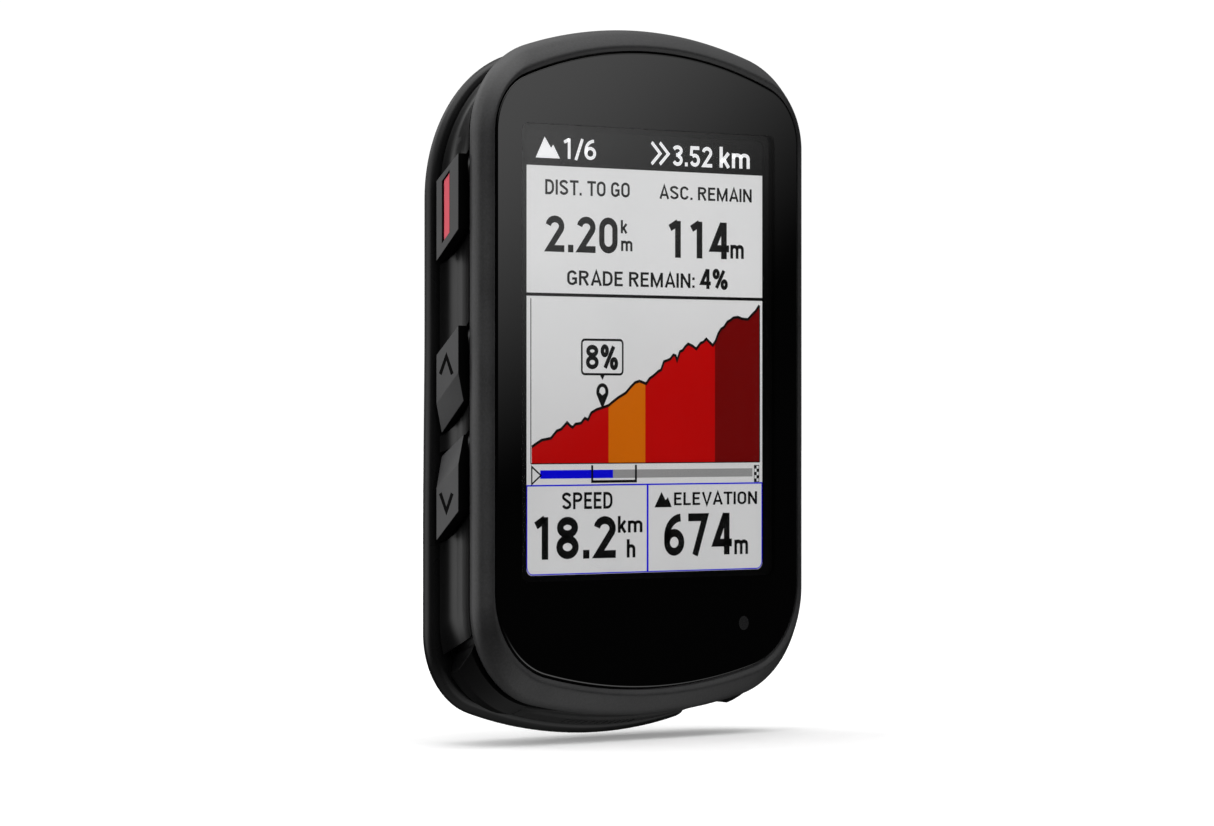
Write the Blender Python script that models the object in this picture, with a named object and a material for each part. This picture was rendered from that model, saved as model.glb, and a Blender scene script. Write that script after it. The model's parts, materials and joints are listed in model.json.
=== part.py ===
"""Handlebar cycling computer, built as the separate pieces it comes apart into.

Frame: metres, +Z up the long side of the case, the screen faces -Y, the back faces +Y,
and the origin is the centre of the flat rear face of the quarter-turn mount insert.
All dimensions below are millimetres and are multiplied by MM when a mesh is made.
"""
import math
import bmesh
import bpy
from mathutils import Matrix, Vector

MM = 0.001

# ---- driving dimensions, in millimetres -------------------------------------------------
Z_DISPLAY = -2.9          # height of the screen's centre above the mount's centre
Y_LENS = -19.5            # front face of the cover lens
DISPLAY_W, DISPLAY_H = 40.1, 52.5
GAP = 0.3                 # clearance between pieces that touch on the real thing
LENS_T = 1.0
KEY_FACE = 28.2           # how far out from the middle the side keys' faces stand
KEY_TRAVEL = 0.6
WALL_IN = 24.9            # inner half width of the middle frame
POCKET = 25.85            # half width at the floor of a key's pocket
MOUNT_NECK_R, MOUNT_TAB_R, MOUNT_RIM_R = 12.5, 15.5, 12.95
MOUNT_UNDERCUT, MOUNT_TAB_T = 1.9, 1.8
BACK_Y = -4.0             # flat of the rear cover
SCREWS_TOP = (17.3, 24.0)
SCREWS_LOW = (11.5, -35.0)
CAP_X0, CAP_X1 = -16.0, 13.4
HINGE_Y, HINGE_Z = 7.62, -45.25
CORNER = (17.0, -31.9)    # centre that the corner keys wrap around

N_ARC, N_CORNER, N_SIDE = 5, 7, 6

for stale in list(bpy.data.objects):
    bpy.data.objects.remove(stale, do_unlink=True)


# ---- materials ----------------------------------------------------------------------------
def finish(name, colour, roughness, metallic=0.0, alpha=1.0, transmission=0.0):
    mat = bpy.data.materials.new(name)
    mat.use_nodes = True
    node = mat.node_tree.nodes["Principled BSDF"]
    node.inputs["Base Color"].default_value = (*colour, 1.0)
    node.inputs["Roughness"].default_value = roughness
    node.inputs["Metallic"].default_value = metallic
    node.inputs["Alpha"].default_value = alpha
    node.inputs["Transmission Weight"].default_value = transmission
    return mat


# ---- outlines -----------------------------------------------------------------------------
def mix(a, b, t):
    return a + (b - a) * t


def outline(w, top, bottom, r_top, big_top, r_low, big_low, flare=0.0):
    """Closed case outline in (x, z): crowned ends, rounded corners, straight sides."""
    zt = (top - big_top) + math.sqrt((big_top - r_top) ** 2 - (w - r_top) ** 2)
    zb = (bottom + big_low) - math.sqrt((big_low - r_low) ** 2 - (w - r_low) ** 2)
    at = math.atan2(zt - (top - big_top), w - r_top)
    ab = math.atan2(zb - (bottom + big_low), w - r_low)
    half = []
    for i in range(N_ARC):
        a = math.pi / 2 + (at - math.pi / 2) * i / N_ARC
        half.append((big_top * math.cos(a), top - big_top + big_top * math.sin(a)))
    for i in range(N_CORNER):
        a = at * (1 - i / N_CORNER)
        half.append((w - r_top + r_top * math.cos(a), zt + r_top * math.sin(a)))
    for i in range(N_SIDE):
        half.append((w, zt + (zb - zt) * i / N_SIDE))
    for i in range(N_CORNER):
        a = ab * i / N_CORNER
        half.append((w - r_low + r_low * math.cos(a), zb + r_low * math.sin(a)))
    for i in range(N_ARC + 1):
        a = ab + (-math.pi / 2 - ab) * i / N_ARC
        half.append((big_low * math.cos(a), bottom + big_low + big_low * math.sin(a)))
    half[-1] = (0.0, bottom)
    half[0] = (0.0, top)
    if flare:
        bent = []
        for x, z in half:
            t = min(1.0, max(0.0, (-z + 4.0) / 26.0))
            bent.append((x + flare * t * t * (3 - 2 * t) * min(1.0, x / w), z))
        half = bent
    return half + [(-x, z) for x, z in reversed(half[1:-1])]


def lens_line(grow=0.0):
    """Outline of the cover lens, grown outwards."""
    return outline(25.5 + grow, 36.1 + grow, -40.0 - grow, 7 + grow, 62 + grow, 10.3 + grow, 77 + grow)


def bezel_line(w, top, bottom):
    """Outline on the bezel between the lens edge and the widest roll."""
    t = (w - 25.5) / (27.4 - 25.5)
    return outline(w, top, bottom, mix(7, 11.7, t), mix(62, 70, t), mix(10.3, 12, t), mix(77, 88, t))


def waist_line(w, top, bottom, t, low=11.6):
    """Outline of the middle frame: like the bezel at t 0 and like the rear cover at t 1."""
    return outline(w, top, bottom, mix(11, 17.5, t), mix(70, 54, t), mix(low, 10, t), mix(88, 70, t))


def rear_line(w, top, bottom, r_top=18.0, r_low=10.0, flare=0.0):
    return outline(w, top, bottom, r_top, 53, r_low, 69, flare)


def reach(line, cx, cz, a):
    """Distance from (cx, cz) out to an outline in the direction a."""
    c, s = math.cos(a), math.sin(a)
    best = 0.0
    for i in range(len(line)):
        (x0, z0), (x1, z1) = line[i], line[(i + 1) % len(line)]
        dx, dz = x1 - x0, z1 - z0
        den = c * dz - s * dx
        if abs(den) < 1e-12:
            continue
        r = ((x0 - cx) * dz - (z0 - cz) * dx) / den
        k = ((x0 - cx) * s - (z0 - cz) * c) / den
        if r > best and -1e-9 <= k <= 1 + 1e-9:
            best = r
    return best


def y_at(depth):
    """World y of a depth behind the lens's front face."""
    return Y_LENS + depth


def ring(line, y):
    return [Vector((x, y, z + Z_DISPLAY)) * MM for x, z in line]


# Sections as (half width, top, bottom, depth), from the front edge to the back.
BEZEL_ROWS = [
    (25.75, 36.35, -40.3, 0.12), (26.1, 36.85, -40.85, -0.1), (26.4, 37.25, -41.35, 0.1),
    (26.85, 38.0, -42.3, 0.75), (27.25, 38.6, -43.0, 1.4), (27.4, 38.93, -43.4, 2.2),
    (27.15, 38.73, -43.25, 2.9), (26.75, 38.3, -42.9, 3.25),
]
# The middle frame's rows carry the blend between the two outlines before the depth.
WAIST_ROWS = [
    (26.75, 38.2, -42.75, 0.0, 3.55), (26.55, 37.8, -42.65, 0.15, 4.2), (26.4, 37.2, -42.8, 0.5, 5.6),
    (26.4, 36.8, -43.2, 0.8, 6.5), (26.6, 36.75, -43.7, 0.95, 7.15), (27.05, 36.95, -44.3, 1.0, 7.55),
    (27.5, 37.2, -44.75, 1.0, 7.75),
]
LIP_ROWS = [
    (27.7, 37.3, -44.8, 0.2, 8.05), (28.2, 37.7, -45.2, 0.25, 8.3), (28.4, 37.88, -45.6, 0.25, 9.0),
    (28.0, 37.7, -45.85, 0.25, 9.8), (27.1, 37.0, -45.7, 0.2, 10.7),
]


def corner_shell(sign, front, rear, lo, hi, steps, inner, outer, slant, lean=0.0):
    """Rings of a block that wraps a lower corner, from angle lo at the side to hi at the bottom.

    outer lists (depth, how far beyond the case's own outline); inner is the radius inside.
    slant is how much the upper end falls back, in radians for each millimetre of depth, and
    lean how much both ends draw in for each millimetre further out.
    """
    cx, cz = CORNER
    line = bezel_line(27.4, 38.93, -43.4)
    rows = []
    for i in range(steps + 1):
        t = i / steps
        row = []
        for d, extra in [(front, None), (rear, None)] + outer[::-1]:
            beyond = -0.85 if extra is None else extra
            a = mix(lo - slant * (d - front) - lean * beyond, hi + lean * max(0.0, beyond), t)
            r = inner if extra is None else reach(line, cx, cz, a) + extra
            row.append(Vector((sign * (cx + r * math.cos(a)), y_at(d), cz + r * math.sin(a) + Z_DISPLAY)) * MM)
        rows.append(row)
    return rows


def low_arc(x, bottom, radius):
    return bottom + radius - math.sqrt(radius * radius - x * x)


# ---- mesh helpers -------------------------------------------------------------------------
def publish(name, bm, mat, smooth=True):
    bmesh.ops.triangulate(bm, faces=[f for f in bm.faces if len(f.verts) == 4])
    bmesh.ops.recalc_face_normals(bm, faces=bm.faces)
    if bm.calc_volume(signed=True) < 0:
        bmesh.ops.reverse_faces(bm, faces=bm.faces)
    mesh = bpy.data.meshes.new(name)
    bm.to_mesh(mesh)
    bm.free()
    if smooth:
        mesh.shade_smooth()
        mesh.set_sharp_from_angle(angle=math.radians(32))
    obj = bpy.data.objects.new(name, mesh)
    bpy.context.scene.collection.objects.link(obj)
    if mat is not None:
        mesh.materials.append(mat)
    return obj


def loft(name, rings, mat, closed=False, smooth=True):
    """One body through the rings: a tube closed on itself, or capped at both ends."""
    bm = bmesh.new()
    rows = [[bm.verts.new(p) for p in r] for r in rings]
    pairs = list(zip(rows, rows[1:]))
    if closed:
        pairs.append((rows[-1], rows[0]))
    for a, b in pairs:
        n = len(a)
        for i in range(n):
            j = (i + 1) % n
            bm.faces.new((a[i], a[j], b[j], b[i]))
    if not closed:
        bm.faces.new(rows[0])
        bm.faces.new(rows[-1])
    return publish(name, bm, mat, smooth)


def box(name, lo, hi, mat, shrink_top=None, matrix=None):
    """A block between two corners, in millimetres."""
    bm = bmesh.new()
    bmesh.ops.create_cube(bm, size=1.0)
    lo, hi = Vector(lo), Vector(hi)
    for v in bm.verts:
        v.co = Vector([(lo[k] + hi[k]) / 2 + v.co[k] * (hi[k] - lo[k]) for k in range(3)])
        if matrix is not None:
            v.co = matrix @ v.co
        v.co *= MM
    return publish(name, bm, mat, smooth=False)


def rod(name, centre, radius, y0, y1, mat, sides=20, radius_end=None, matrix=None):
    """A round post along Y, in millimetres."""
    rings = []
    for y, r in ((y0, radius), (y1, radius if radius_end is None else radius_end)):
        row = []
        for i in range(sides):
            a = 2 * math.pi * i / sides
            row.append(Vector((centre[0] + r * math.cos(a), y, centre[1] + r * math.sin(a))) * MM)
        rings.append(row)
    return loft(name, rings, mat)


def prism(name, poly, x_in, x_out, mat, inset=0.0):
    """A side key's block: poly is (y, z) corners, standing from x_in out to x_out."""
    sign = 1 if x_out > 0 else -1
    cy = sum(p[0] for p in poly) / len(poly)
    cz = sum(p[1] for p in poly) / len(poly)
    rings = []
    for x, k in ((x_in, 0.0), (x_out - sign * inset, 0.0), (x_out, inset)):
        row = []
        for y, z in poly:
            d = math.hypot(y - cy, z - cz)
            s = 1 - k / d
            row.append(Vector((x, cy + (y - cy) * s, cz + (z - cz) * s + Z_DISPLAY)) * MM)
        rings.append(row)
    return loft(name, rings, mat, smooth=False)


def hide(obj):
    obj.hide_render = True
    obj.display_type = "WIRE"
    return obj


def boolean(target, tool, operation):
    hide(tool)
    mod = target.modifiers.new(tool.name, "BOOLEAN")
    mod.operation = operation
    mod.object = tool
    # The exact solver leaves open edges where the frame's thin rims meet its corner pockets.
    mod.solver = "MANIFOLD" if target.name == "mid_frame" else "EXACT"
    return target


def cut(target, tool):
    return boolean(target, tool, "DIFFERENCE")


def join(target, tool):
    return boolean(target, tool, "UNION")


def pivot(obj, point):
    """Moves a piece's origin to a point in millimetres, and leaves the piece where it is."""
    at = Vector(point) * MM
    obj.data.transform(Matrix.Translation(-at))
    obj.location = at
    return obj


# ---- finishes -----------------------------------------------------------------------------
M_BEZEL = finish("bezel_plastic", (0.058, 0.058, 0.06), 0.55)
M_GLASS = finish("cover_glass", (0.03, 0.03, 0.032), 0.06, alpha=0.35, transmission=0.6)
M_GLUE = finish("adhesive", (0.02, 0.02, 0.02), 0.8)
M_LCD = finish("lcd_glass", (0.62, 0.63, 0.63), 0.3)
M_LIGHT = finish("light_guide", (0.85, 0.86, 0.88), 0.25)
M_STEEL = finish("sheet_steel", (0.6, 0.6, 0.6), 0.35, 1.0)
M_FRAME = finish("frame_plastic", (0.02, 0.02, 0.021), 0.22)
M_REAR = finish("rear_plastic", (0.035, 0.035, 0.036), 0.45)
M_RUBBER = finish("rubber", (0.03, 0.03, 0.03), 0.75)
M_KEY = finish("key_plastic", (0.07, 0.07, 0.072), 0.5)
M_RED = finish("red_insert", (0.78, 0.06, 0.1), 0.35)
M_BOARD = finish("circuit_board", (0.01, 0.09, 0.045), 0.5)
M_CERAMIC = finish("ceramic", (0.72, 0.68, 0.58), 0.5)
M_BATTERY = finish("battery_foil", (0.62, 0.63, 0.66), 0.35, 0.9)
M_FOAM = finish("foam", (0.09, 0.09, 0.1), 0.95)
M_SCREW = finish("screw_steel", (0.25, 0.25, 0.26), 0.3, 1.0)
M_MOUNT = finish("mount_polymer", (0.045, 0.045, 0.047), 0.5)
M_MEMBRANE = finish("membrane", (0.8, 0.8, 0.78), 0.7)
M_FLEX = finish("flex_film", (0.55, 0.28, 0.06), 0.4)
M_SWITCH = finish("switch_body", (0.12, 0.12, 0.13), 0.5)
M_PLUNGER = finish("switch_plunger", (0.8, 0.8, 0.76), 0.5)
M_SENSOR = finish("sensor", (0.05, 0.04, 0.05), 0.2)

# ---- front: bezel, lens, screen stack --------------------------------------------------------
loft("front_bezel", [ring(bezel_line(w, top, low), y_at(d)) for w, top, low, d in BEZEL_ROWS] + [
    ring(lens_line(-0.6), y_at(3.25)),
    ring(lens_line(-0.6), y_at(2.6)),
    ring(lens_line(-3.0), y_at(2.6)),
    ring(lens_line(-3.0), y_at(1.9)),
    ring(lens_line(0.25), y_at(1.9)),
], M_BEZEL, closed=True)

loft("cover_lens", [
    ring(lens_line(-0.25), y_at(0.0)),
    ring(lens_line(0.0), y_at(0.15)),
    ring(lens_line(0.0), y_at(LENS_T)),
], M_GLASS)

loft("lens_adhesive", [
    ring(lens_line(-0.3), y_at(1.25)),
    ring(lens_line(-0.3), y_at(1.6)),
    ring(lens_line(-2.6), y_at(1.6)),
    ring(lens_line(-2.6), y_at(1.25)),
], M_GLUE, closed=True)

box("lcd_panel", (-21.3, y_at(1.3), -29.6 + Z_DISPLAY), (21.3, y_at(2.4), 27.6 + Z_DISPLAY), M_LCD)
box("backlight", (-21.3, y_at(2.7), -29.6 + Z_DISPLAY), (21.3, y_at(3.7), 27.6 + Z_DISPLAY), M_LIGHT)

tray = box("display_tray", (-21.9, y_at(4.0), -30.2 + Z_DISPLAY), (21.9, y_at(4.5), 28.2 + Z_DISPLAY), M_STEEL)
cut(tray, box("cut_tray_flex", (-6.0, y_at(3.6), -31.0 + Z_DISPLAY), (6.0, y_at(4.9), -28.8 + Z_DISPLAY), None))

rod("light_sensor", (16.0, -32.75 + Z_DISPLAY), 0.85, y_at(1.3), y_at(2.3), M_SENSOR, 16)

# ---- middle frame: the waist between the bezel and the rear cover -----------------------------
mid = loft("mid_frame", [ring(waist_line(w, top, low, t), y_at(d)) for w, top, low, t, d in WAIST_ROWS] + [
    ring(waist_line(WALL_IN, 34.9, -40.6, 1.0), y_at(7.75)),
    ring(waist_line(WALL_IN, 35.6, -40.6, 0.3, 11.0), y_at(3.55)),
], M_FRAME, closed=True)

for tag, sx, (px, pz), wall in (
    ("top_left", -1, SCREWS_TOP, "side"), ("top_right", 1, SCREWS_TOP, "side"),
    ("low_left", -1, SCREWS_LOW, "low"), ("low_right", 1, SCREWS_LOW, "low"),
):
    x, z = sx * px, pz + Z_DISPLAY
    if wall == "side":
        xs = sorted((x + sx * 1.0, sx * 25.6))
        arm = box("arm_" + tag, (xs[0], y_at(5.2), z - 1.3), (xs[1], y_at(6.9), z + 1.3), None)
    else:
        arm = box("arm_" + tag, (x - 1.3, y_at(5.2), -41.4 + Z_DISPLAY), (x + 1.3, y_at(6.9), z - 1.0), None)
    join(mid, arm)
    join(mid, rod("post_" + tag, (x, z), 2.3, y_at(5.0), y_at(7.75), None, 16))


# ---- keys on the sides ------------------------------------------------------------------------
def side_key(name, sign, front, rear, slope=None, insert=False):
    """A key on a side wall. front and rear are its (high, low) z at its front and rear edges.

    slope is None, "low" or "high": the end where the face falls back towards the wall.
    """
    y_f, y_r = y_at(3.75), y_at(7.55)
    poly = [(y_f, front[0]), (y_r, rear[0]), (y_r, rear[1]), (y_f, front[1])]
    face, fall = KEY_FACE * sign, 0.85 * sign
    if slope is None:
        body = prism(name, poly, 26.6 * sign, face, M_KEY, inset=0.25)
    else:
        lead = 0.62 if slope == "low" else 0.38
        brk_f = mix(front[0], front[1], lead)
        brk_r = mix(rear[0], rear[1], lead)
        outer = {"low": (0.0, 0.0, fall, fall), "high": (fall, fall, 0.0, 0.0)}[slope]
        pts = [(y_f, front[0], outer[0]), (y_r, rear[0], outer[1]),
               (y_r, brk_r, 0.0), (y_r, rear[1], outer[2]),
               (y_f, front[1], outer[3]), (y_f, brk_f, 0.0)]
        bm = bmesh.new()
        base = [bm.verts.new(Vector((26.6 * sign, y, z + Z_DISPLAY)) * MM) for y, z, _ in pts]
        top = [bm.verts.new(Vector((face - drop, y, z + Z_DISPLAY)) * MM) for y, z, drop in pts]
        for i in range(6):
            j = (i + 1) % 6
            bm.faces.new((base[i], base[j], top[j], top[i]))
        bm.faces.new(base)
        bm.faces.new((top[0], top[1], top[2], top[5]))
        bm.faces.new((top[2], top[3], top[4], top[5]))
        body = publish(name, bm, M_KEY, smooth=False)
    cz = (front[0] + front[1] + rear[0] + rear[1]) / 4 + Z_DISPLAY
    cy = (y_f + y_r) / 2

    def across(tag, x_a, x_b, half_y, half_z, mat=None):
        a, b = sorted((x_a * sign, x_b * sign))
        return box(tag, (a, cy - half_y, cz - half_z), (b, cy + half_y, cz + half_z), mat)

    join(body, across("stem_" + name, 26.8, 24.3, 1.0, 2.5))
    join(body, across("barb_" + name, 24.5, 24.0, 1.0, 3.4))
    if insert:
        slot = [(y_at(5.15), 21.35), (y_at(6.7), 20.05), (y_at(6.7), 12.95), (y_at(5.15), 14.25)]
        cut(body, prism("slot_" + name, slot, 27.55 * sign, 29.0 * sign, None))
    pocket = [(y_at(3.2), front[0] + 0.75), (y_at(8.2), rear[0] + 0.15),
              (y_at(8.2), rear[1] - 0.75), (y_at(3.2), front[1] - 0.15)]
    cut(mid, prism("pocket_" + name, pocket, POCKET * sign, 30.0 * sign, None))
    cut(mid, across("hole_" + name, 23.8, 26.5, 1.3, 2.8))
    plunger = name.replace("_button", "_switch_plunger")
    across(plunger, 23.7, 21.9, 0.55, 0.9, M_PLUNGER)
    switch = across(name.replace("_button", "_switch"), 23.0, 20.5, 1.05, 1.9, M_SWITCH)
    cut(switch, across("bore_" + name, 23.4, 21.0, 0.75, 1.15))
    return pivot(body, (KEY_FACE * sign, cy, cz))


side_key("power_button", -1, (23.3, 14.4), (20.1, 10.7), insert=True)
side_key("up_button", -1, (3.15, -5.7), (-0.3, -9.5), slope="low")
side_key("down_button", -1, (-9.6, -18.6), (-12.2, -22.1), slope="high")
side_key("enter_button", 1, (3.15, -5.7), (-0.3, -9.5), slope="low")
side_key("back_button", 1, (-9.6, -18.6), (-12.2, -22.1), slope="high")

bar = [(y_at(5.38), 20.95), (y_at(6.47), 20.03), (y_at(6.47), 13.32), (y_at(5.38), 14.24)]
pivot(prism("power_button_insert", bar, -27.72, -28.05, M_RED), (-KEY_FACE, y_at(5.65), 17.125 + Z_DISPLAY))


# ---- keys on the lower corners ----------------------------------------------------------------
def corner_key(name, sign):
    """A key that wraps a lower corner and is pressed along the corner's diagonal."""
    cx, cz = CORNER
    rows = corner_shell(sign, 3.85, 7.5, math.radians(-18.5), math.radians(-88.2), 11, 9.05,
                        [(3.85, 0.25), (5.3, 1.35), (7.5, 1.25)], math.radians(2.5), math.radians(4.5))
    body = loft(name, rows, M_KEY)
    cut(mid, loft("pocket_" + name, corner_shell(
        sign, 3.2, 8.2, math.radians(-5.0), math.radians(-93.2), 12, 8.2, [(3.2, 3.0), (8.2, 3.0)],
        math.radians(3.2)), None))
    diagonal = Matrix.Translation((sign * cx, 0, cz + Z_DISPLAY)) @ Matrix.Rotation(
        math.radians(45 if sign > 0 else 135), 4, "Y")
    cy = y_at(5.65)

    def along(tag, r_a, r_b, half_y, half_w, mat=None):
        a, b = sorted((r_a, r_b))
        return box(tag, (a, cy - half_y, -half_w), (b, cy + half_y, half_w), mat, matrix=diagonal)

    join(body, along("stem_" + name, 9.6, 5.7, 1.0, 2.0))
    join(body, along("barb_" + name, 5.8, 5.35, 1.0, 2.4))
    cut(mid, along("hole_" + name, 5.0, 8.9, 1.3, 2.3))
    plunger = name.replace("_button", "_switch_plunger")
    along(plunger, 5.1, 3.45, 0.55, 0.9, M_PLUNGER)
    switch = along(name.replace("_button", "_switch"), 4.5, 2.2, 1.05, 1.9, M_SWITCH)
    cut(switch, along("bore_" + name, 5.0, 2.65, 0.75, 1.15))
    half = math.sqrt(0.5)
    pivot(body, (sign * (cx + 11.0 * half), cy, cz - 11.0 * half + Z_DISPLAY))


corner_key("lap_button", -1)
corner_key("start_button", 1)


# ---- weather cap over the charging socket -------------------------------------------------------
def cap_sweep(name, grow, x0, x1, mat, y_front, y_rear, lift=0.0, slant=0.0):
    """The cap's section swept along the crowned lower edge."""
    rows, steps = [], 14
    for i in range(steps + 1):
        x = mix(x0, x1, i / steps)
        zf, zr = low_arc(x, -43.45, 90), low_arc(x, -44.75, 72)
        yf = y_front + slant * max(0.0, -12.2 - x)
        rows.append([Vector((x, y, z + Z_DISPLAY)) * MM for y, z in (
            (yf, zf - grow), (max(yf + 0.3, y_at(5.1)), mix(zf, zr, 0.22) - grow),
            (max(yf + 0.5, y_at(5.3)), mix(zf, zr, 0.5) - grow), (y_rear, zr - grow),
            (y_rear, zf + 1.0 + lift), (yf, zf + 1.0 + lift))])
    return loft(name, rows, mat, smooth=False)


cap = cap_sweep("weather_cap", 0.0, CAP_X0, CAP_X1, M_RUBBER, y_at(3.9), y_at(7.45), slant=0.5)
pivot(cap, ((CAP_X0 + CAP_X1) / 2, y_at(HINGE_Y), HINGE_Z + Z_DISPLAY))
join(cap, box("cap_plug", (-4.2, y_at(5.2), -42.6 + Z_DISPLAY), (4.2, y_at(6.7), -41.65 + Z_DISPLAY), None))
cut(mid, cap_sweep("cap_recess", 4.0, CAP_X0 - 0.7, CAP_X1 + 0.4, None, y_at(3.2), y_at(8.2), lift=0.3))
cut(mid, box("socket_hole", (-4.85, y_at(4.0), -43.5 + Z_DISPLAY), (4.85, y_at(7.3), -39.9 + Z_DISPLAY), None))

socket = box("usb_socket", (-4.5, y_at(4.3), -41.2 + Z_DISPLAY), (4.5, y_at(6.95), -34.6 + Z_DISPLAY), M_STEEL)
cut(socket, box("socket_mouth", (-4.15, y_at(4.6), -41.8 + Z_DISPLAY), (4.15, y_at(6.65), -35.4 + Z_DISPLAY), None))
join(socket, box("socket_tongue", (-3.3, y_at(5.3), -40.4 + Z_DISPLAY), (3.3, y_at(5.95), -35.0 + Z_DISPLAY), None))

# ---- board and what it carries ---------------------------------------------------------------
board = loft("main_board", [
    ring(waist_line(24.3, 33.8, -40.0, 1.0), y_at(7.25)),
    ring(waist_line(24.3, 33.8, -40.0, 1.0), y_at(8.05)),
], M_BOARD, smooth=False)
for sx in (-1, 1):
    cut(board, rod("notch_top_%d" % sx, (sx * SCREWS_TOP[0], SCREWS_TOP[1] + Z_DISPLAY), 3.1, y_at(6.5), y_at(9), None, 16))
    cut(board, rod("notch_low_%d" % sx, (sx * SCREWS_LOW[0], SCREWS_LOW[1] + Z_DISPLAY), 3.1, y_at(6.5), y_at(9), None, 16))
    cut(board, box("notch_arm_%d" % sx, (min(sx * 18, sx * 25), y_at(6.5), SCREWS_TOP[1] - 1.7 + Z_DISPLAY),
                   (max(sx * 18, sx * 25), y_at(9), SCREWS_TOP[1] + 1.7 + Z_DISPLAY), None))

box("processor_shield", (-12.0, y_at(8.35), 13.0 + Z_DISPLAY), (1.0, y_at(9.7), 26.0 + Z_DISPLAY), M_STEEL)
box("radio_shield", (2.5, y_at(8.35), 13.0 + Z_DISPLAY), (12.5, y_at(9.7), 22.0 + Z_DISPLAY), M_STEEL)
box("gnss_antenna", (-7.5, y_at(8.35), 26.6 + Z_DISPLAY), (7.5, y_at(10.9), 31.0 + Z_DISPLAY), M_CERAMIC)
box("battery", (-15.5, y_at(8.35), -30.5 + Z_DISPLAY), (15.5, y_at(13.1), 10.5 + Z_DISPLAY), M_BATTERY)
box("battery_pad", (-13.0, y_at(13.4), -27.0 + Z_DISPLAY), (13.0, y_at(13.8), 7.0 + Z_DISPLAY), M_FOAM)
rod("buzzer", (18.6, 14.0 + Z_DISPLAY), 3.2, y_at(8.35), y_at(10.6), M_SWITCH, 20)
box("pressure_sensor", (-19.5, y_at(8.35), 13.6 + Z_DISPLAY), (-16.5, y_at(9.5), 16.6 + Z_DISPLAY), M_STEEL)

flex = loft("display_flex", [
    [Vector((x, y, z + Z_DISPLAY)) * MM for x, y, z in ((-5, y_at(3.0), -30.0), (5, y_at(3.0), -30.0), (5, y_at(3.3), -30.0), (-5, y_at(3.3), -30.0))],
    [Vector((x, y, z + Z_DISPLAY)) * MM for x, y, z in ((-5, y_at(3.2), -32.6), (5, y_at(3.2), -32.6), (5, y_at(3.5), -32.3), (-5, y_at(3.5), -32.3))],
    [Vector((x, y, z + Z_DISPLAY)) * MM for x, y, z in ((-5, y_at(5.2), -33.3), (5, y_at(5.2), -33.3), (5, y_at(5.2), -32.9), (-5, y_at(5.2), -32.9))],
    [Vector((x, y, z + Z_DISPLAY)) * MM for x, y, z in ((-5, y_at(6.9), -32.4), (5, y_at(6.9), -32.4), (5, y_at(6.6), -32.2), (-5, y_at(6.6), -32.2))],
    [Vector((x, y, z + Z_DISPLAY)) * MM for x, y, z in ((-5, y_at(6.95), -27.0), (5, y_at(6.95), -27.0), (5, y_at(6.65), -27.0), (-5, y_at(6.65), -27.0))],
], M_FLEX)

# ---- rear cover, gasket, vent and screws -------------------------------------------------------
rear = loft("rear_cover", [
    ring(rear_line(18.6, 26.6, -37.6, 9, 6), y_at(14.1)),
    ring(rear_line(20.6, 28.8, -39.4, 11, 8), y_at(13.7)),
    ring(rear_line(22.9, 31.6, -41.6, 13, 9), y_at(11.9)),
    ring(rear_line(24.5, 34.1, -42.6, 15.5, 9), y_at(10.2)),
    ring(rear_line(24.5, 34.1, -42.6, 15.5, 9), y_at(8.05)),
    ring(rear_line(25.2, 34.8, -43.2, 16, 9.5), y_at(8.05)),
    ring(rear_line(25.2, 34.8, -43.2, 16, 9.5), y_at(9.05)),
    ring(rear_line(26.2, 35.8, -44.0, 16.8, 10), y_at(9.05)),
    ring(rear_line(26.2, 35.8, -44.0, 16.8, 10), y_at(8.05)),
] + [ring(rear_line(w, top, low, flare=k), y_at(d)) for w, top, low, k, d in LIP_ROWS] + [
    ring(rear_line(25.0, 35.0, -44.3, 16.5, 9.5, 0.15), y_at(12.6)),
    ring(rear_line(22.6, 32.4, -42.2, 14, 8.5, 0.05), y_at(14.4)),
    ring(rear_line(21.2, 30.8, -40.8, 13, 8), y_at(15.1)),
    ring(rear_line(19.6, 29.0, -39.2, 12, 7), BACK_Y),
], M_REAR)

for sx in (-1, 1):
    for tag, (px, pz) in (("top", SCREWS_TOP), ("low", SCREWS_LOW)):
        side = "left" if sx < 0 else "right"
        x, z = sx * px, pz + Z_DISPLAY
        join(rear, rod("boss_%s_%s" % (tag, side), (x, z), 2.3, y_at(8.1), y_at(14.6), None, 16))
for sx in (-1, 1):
    for tag, (px, pz) in (("top", SCREWS_TOP), ("low", SCREWS_LOW)):
        side = "left" if sx < 0 else "right"
        x, z = sx * px, pz + Z_DISPLAY
        cut(rear, rod("bore_%s_%s" % (tag, side), (x, z), 1.1, y_at(7.5), -3.0, None, 14))
        cut(rear, rod("sink_%s_%s" % (tag, side), (x, z), 1.85, -5.2, -3.0, None, 18))
        cut(mid, rod("thread_%s_%s" % (tag, side), (x, z), 1.1, y_at(5.7), y_at(8.4), None, 14))
        screw = rod("housing_screw_%s_%s" % (tag, side), (x, z), 1.55, -4.9, -4.15, M_SCREW, 18)
        join(screw, rod("shank_%s_%s" % (tag, side), (x, z), 0.8, y_at(6.0), -4.7, None, 12))
        cut(screw, rod("drive_%s_%s" % (tag, side), (x, z), 0.62, -4.55, -3.8, None, 6))

loft("housing_gasket", [
    ring(rear_line(25.45, 35.05, -43.4, 16.3, 9.6), y_at(8.0)),
    ring(rear_line(25.95, 35.55, -43.8, 16.6, 9.8), y_at(8.0)),
    ring(rear_line(25.95, 35.55, -43.8, 16.6, 9.8), y_at(8.75)),
    ring(rear_line(25.45, 35.05, -43.4, 16.3, 9.6), y_at(8.75)),
], M_RUBBER, closed=True)

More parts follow.
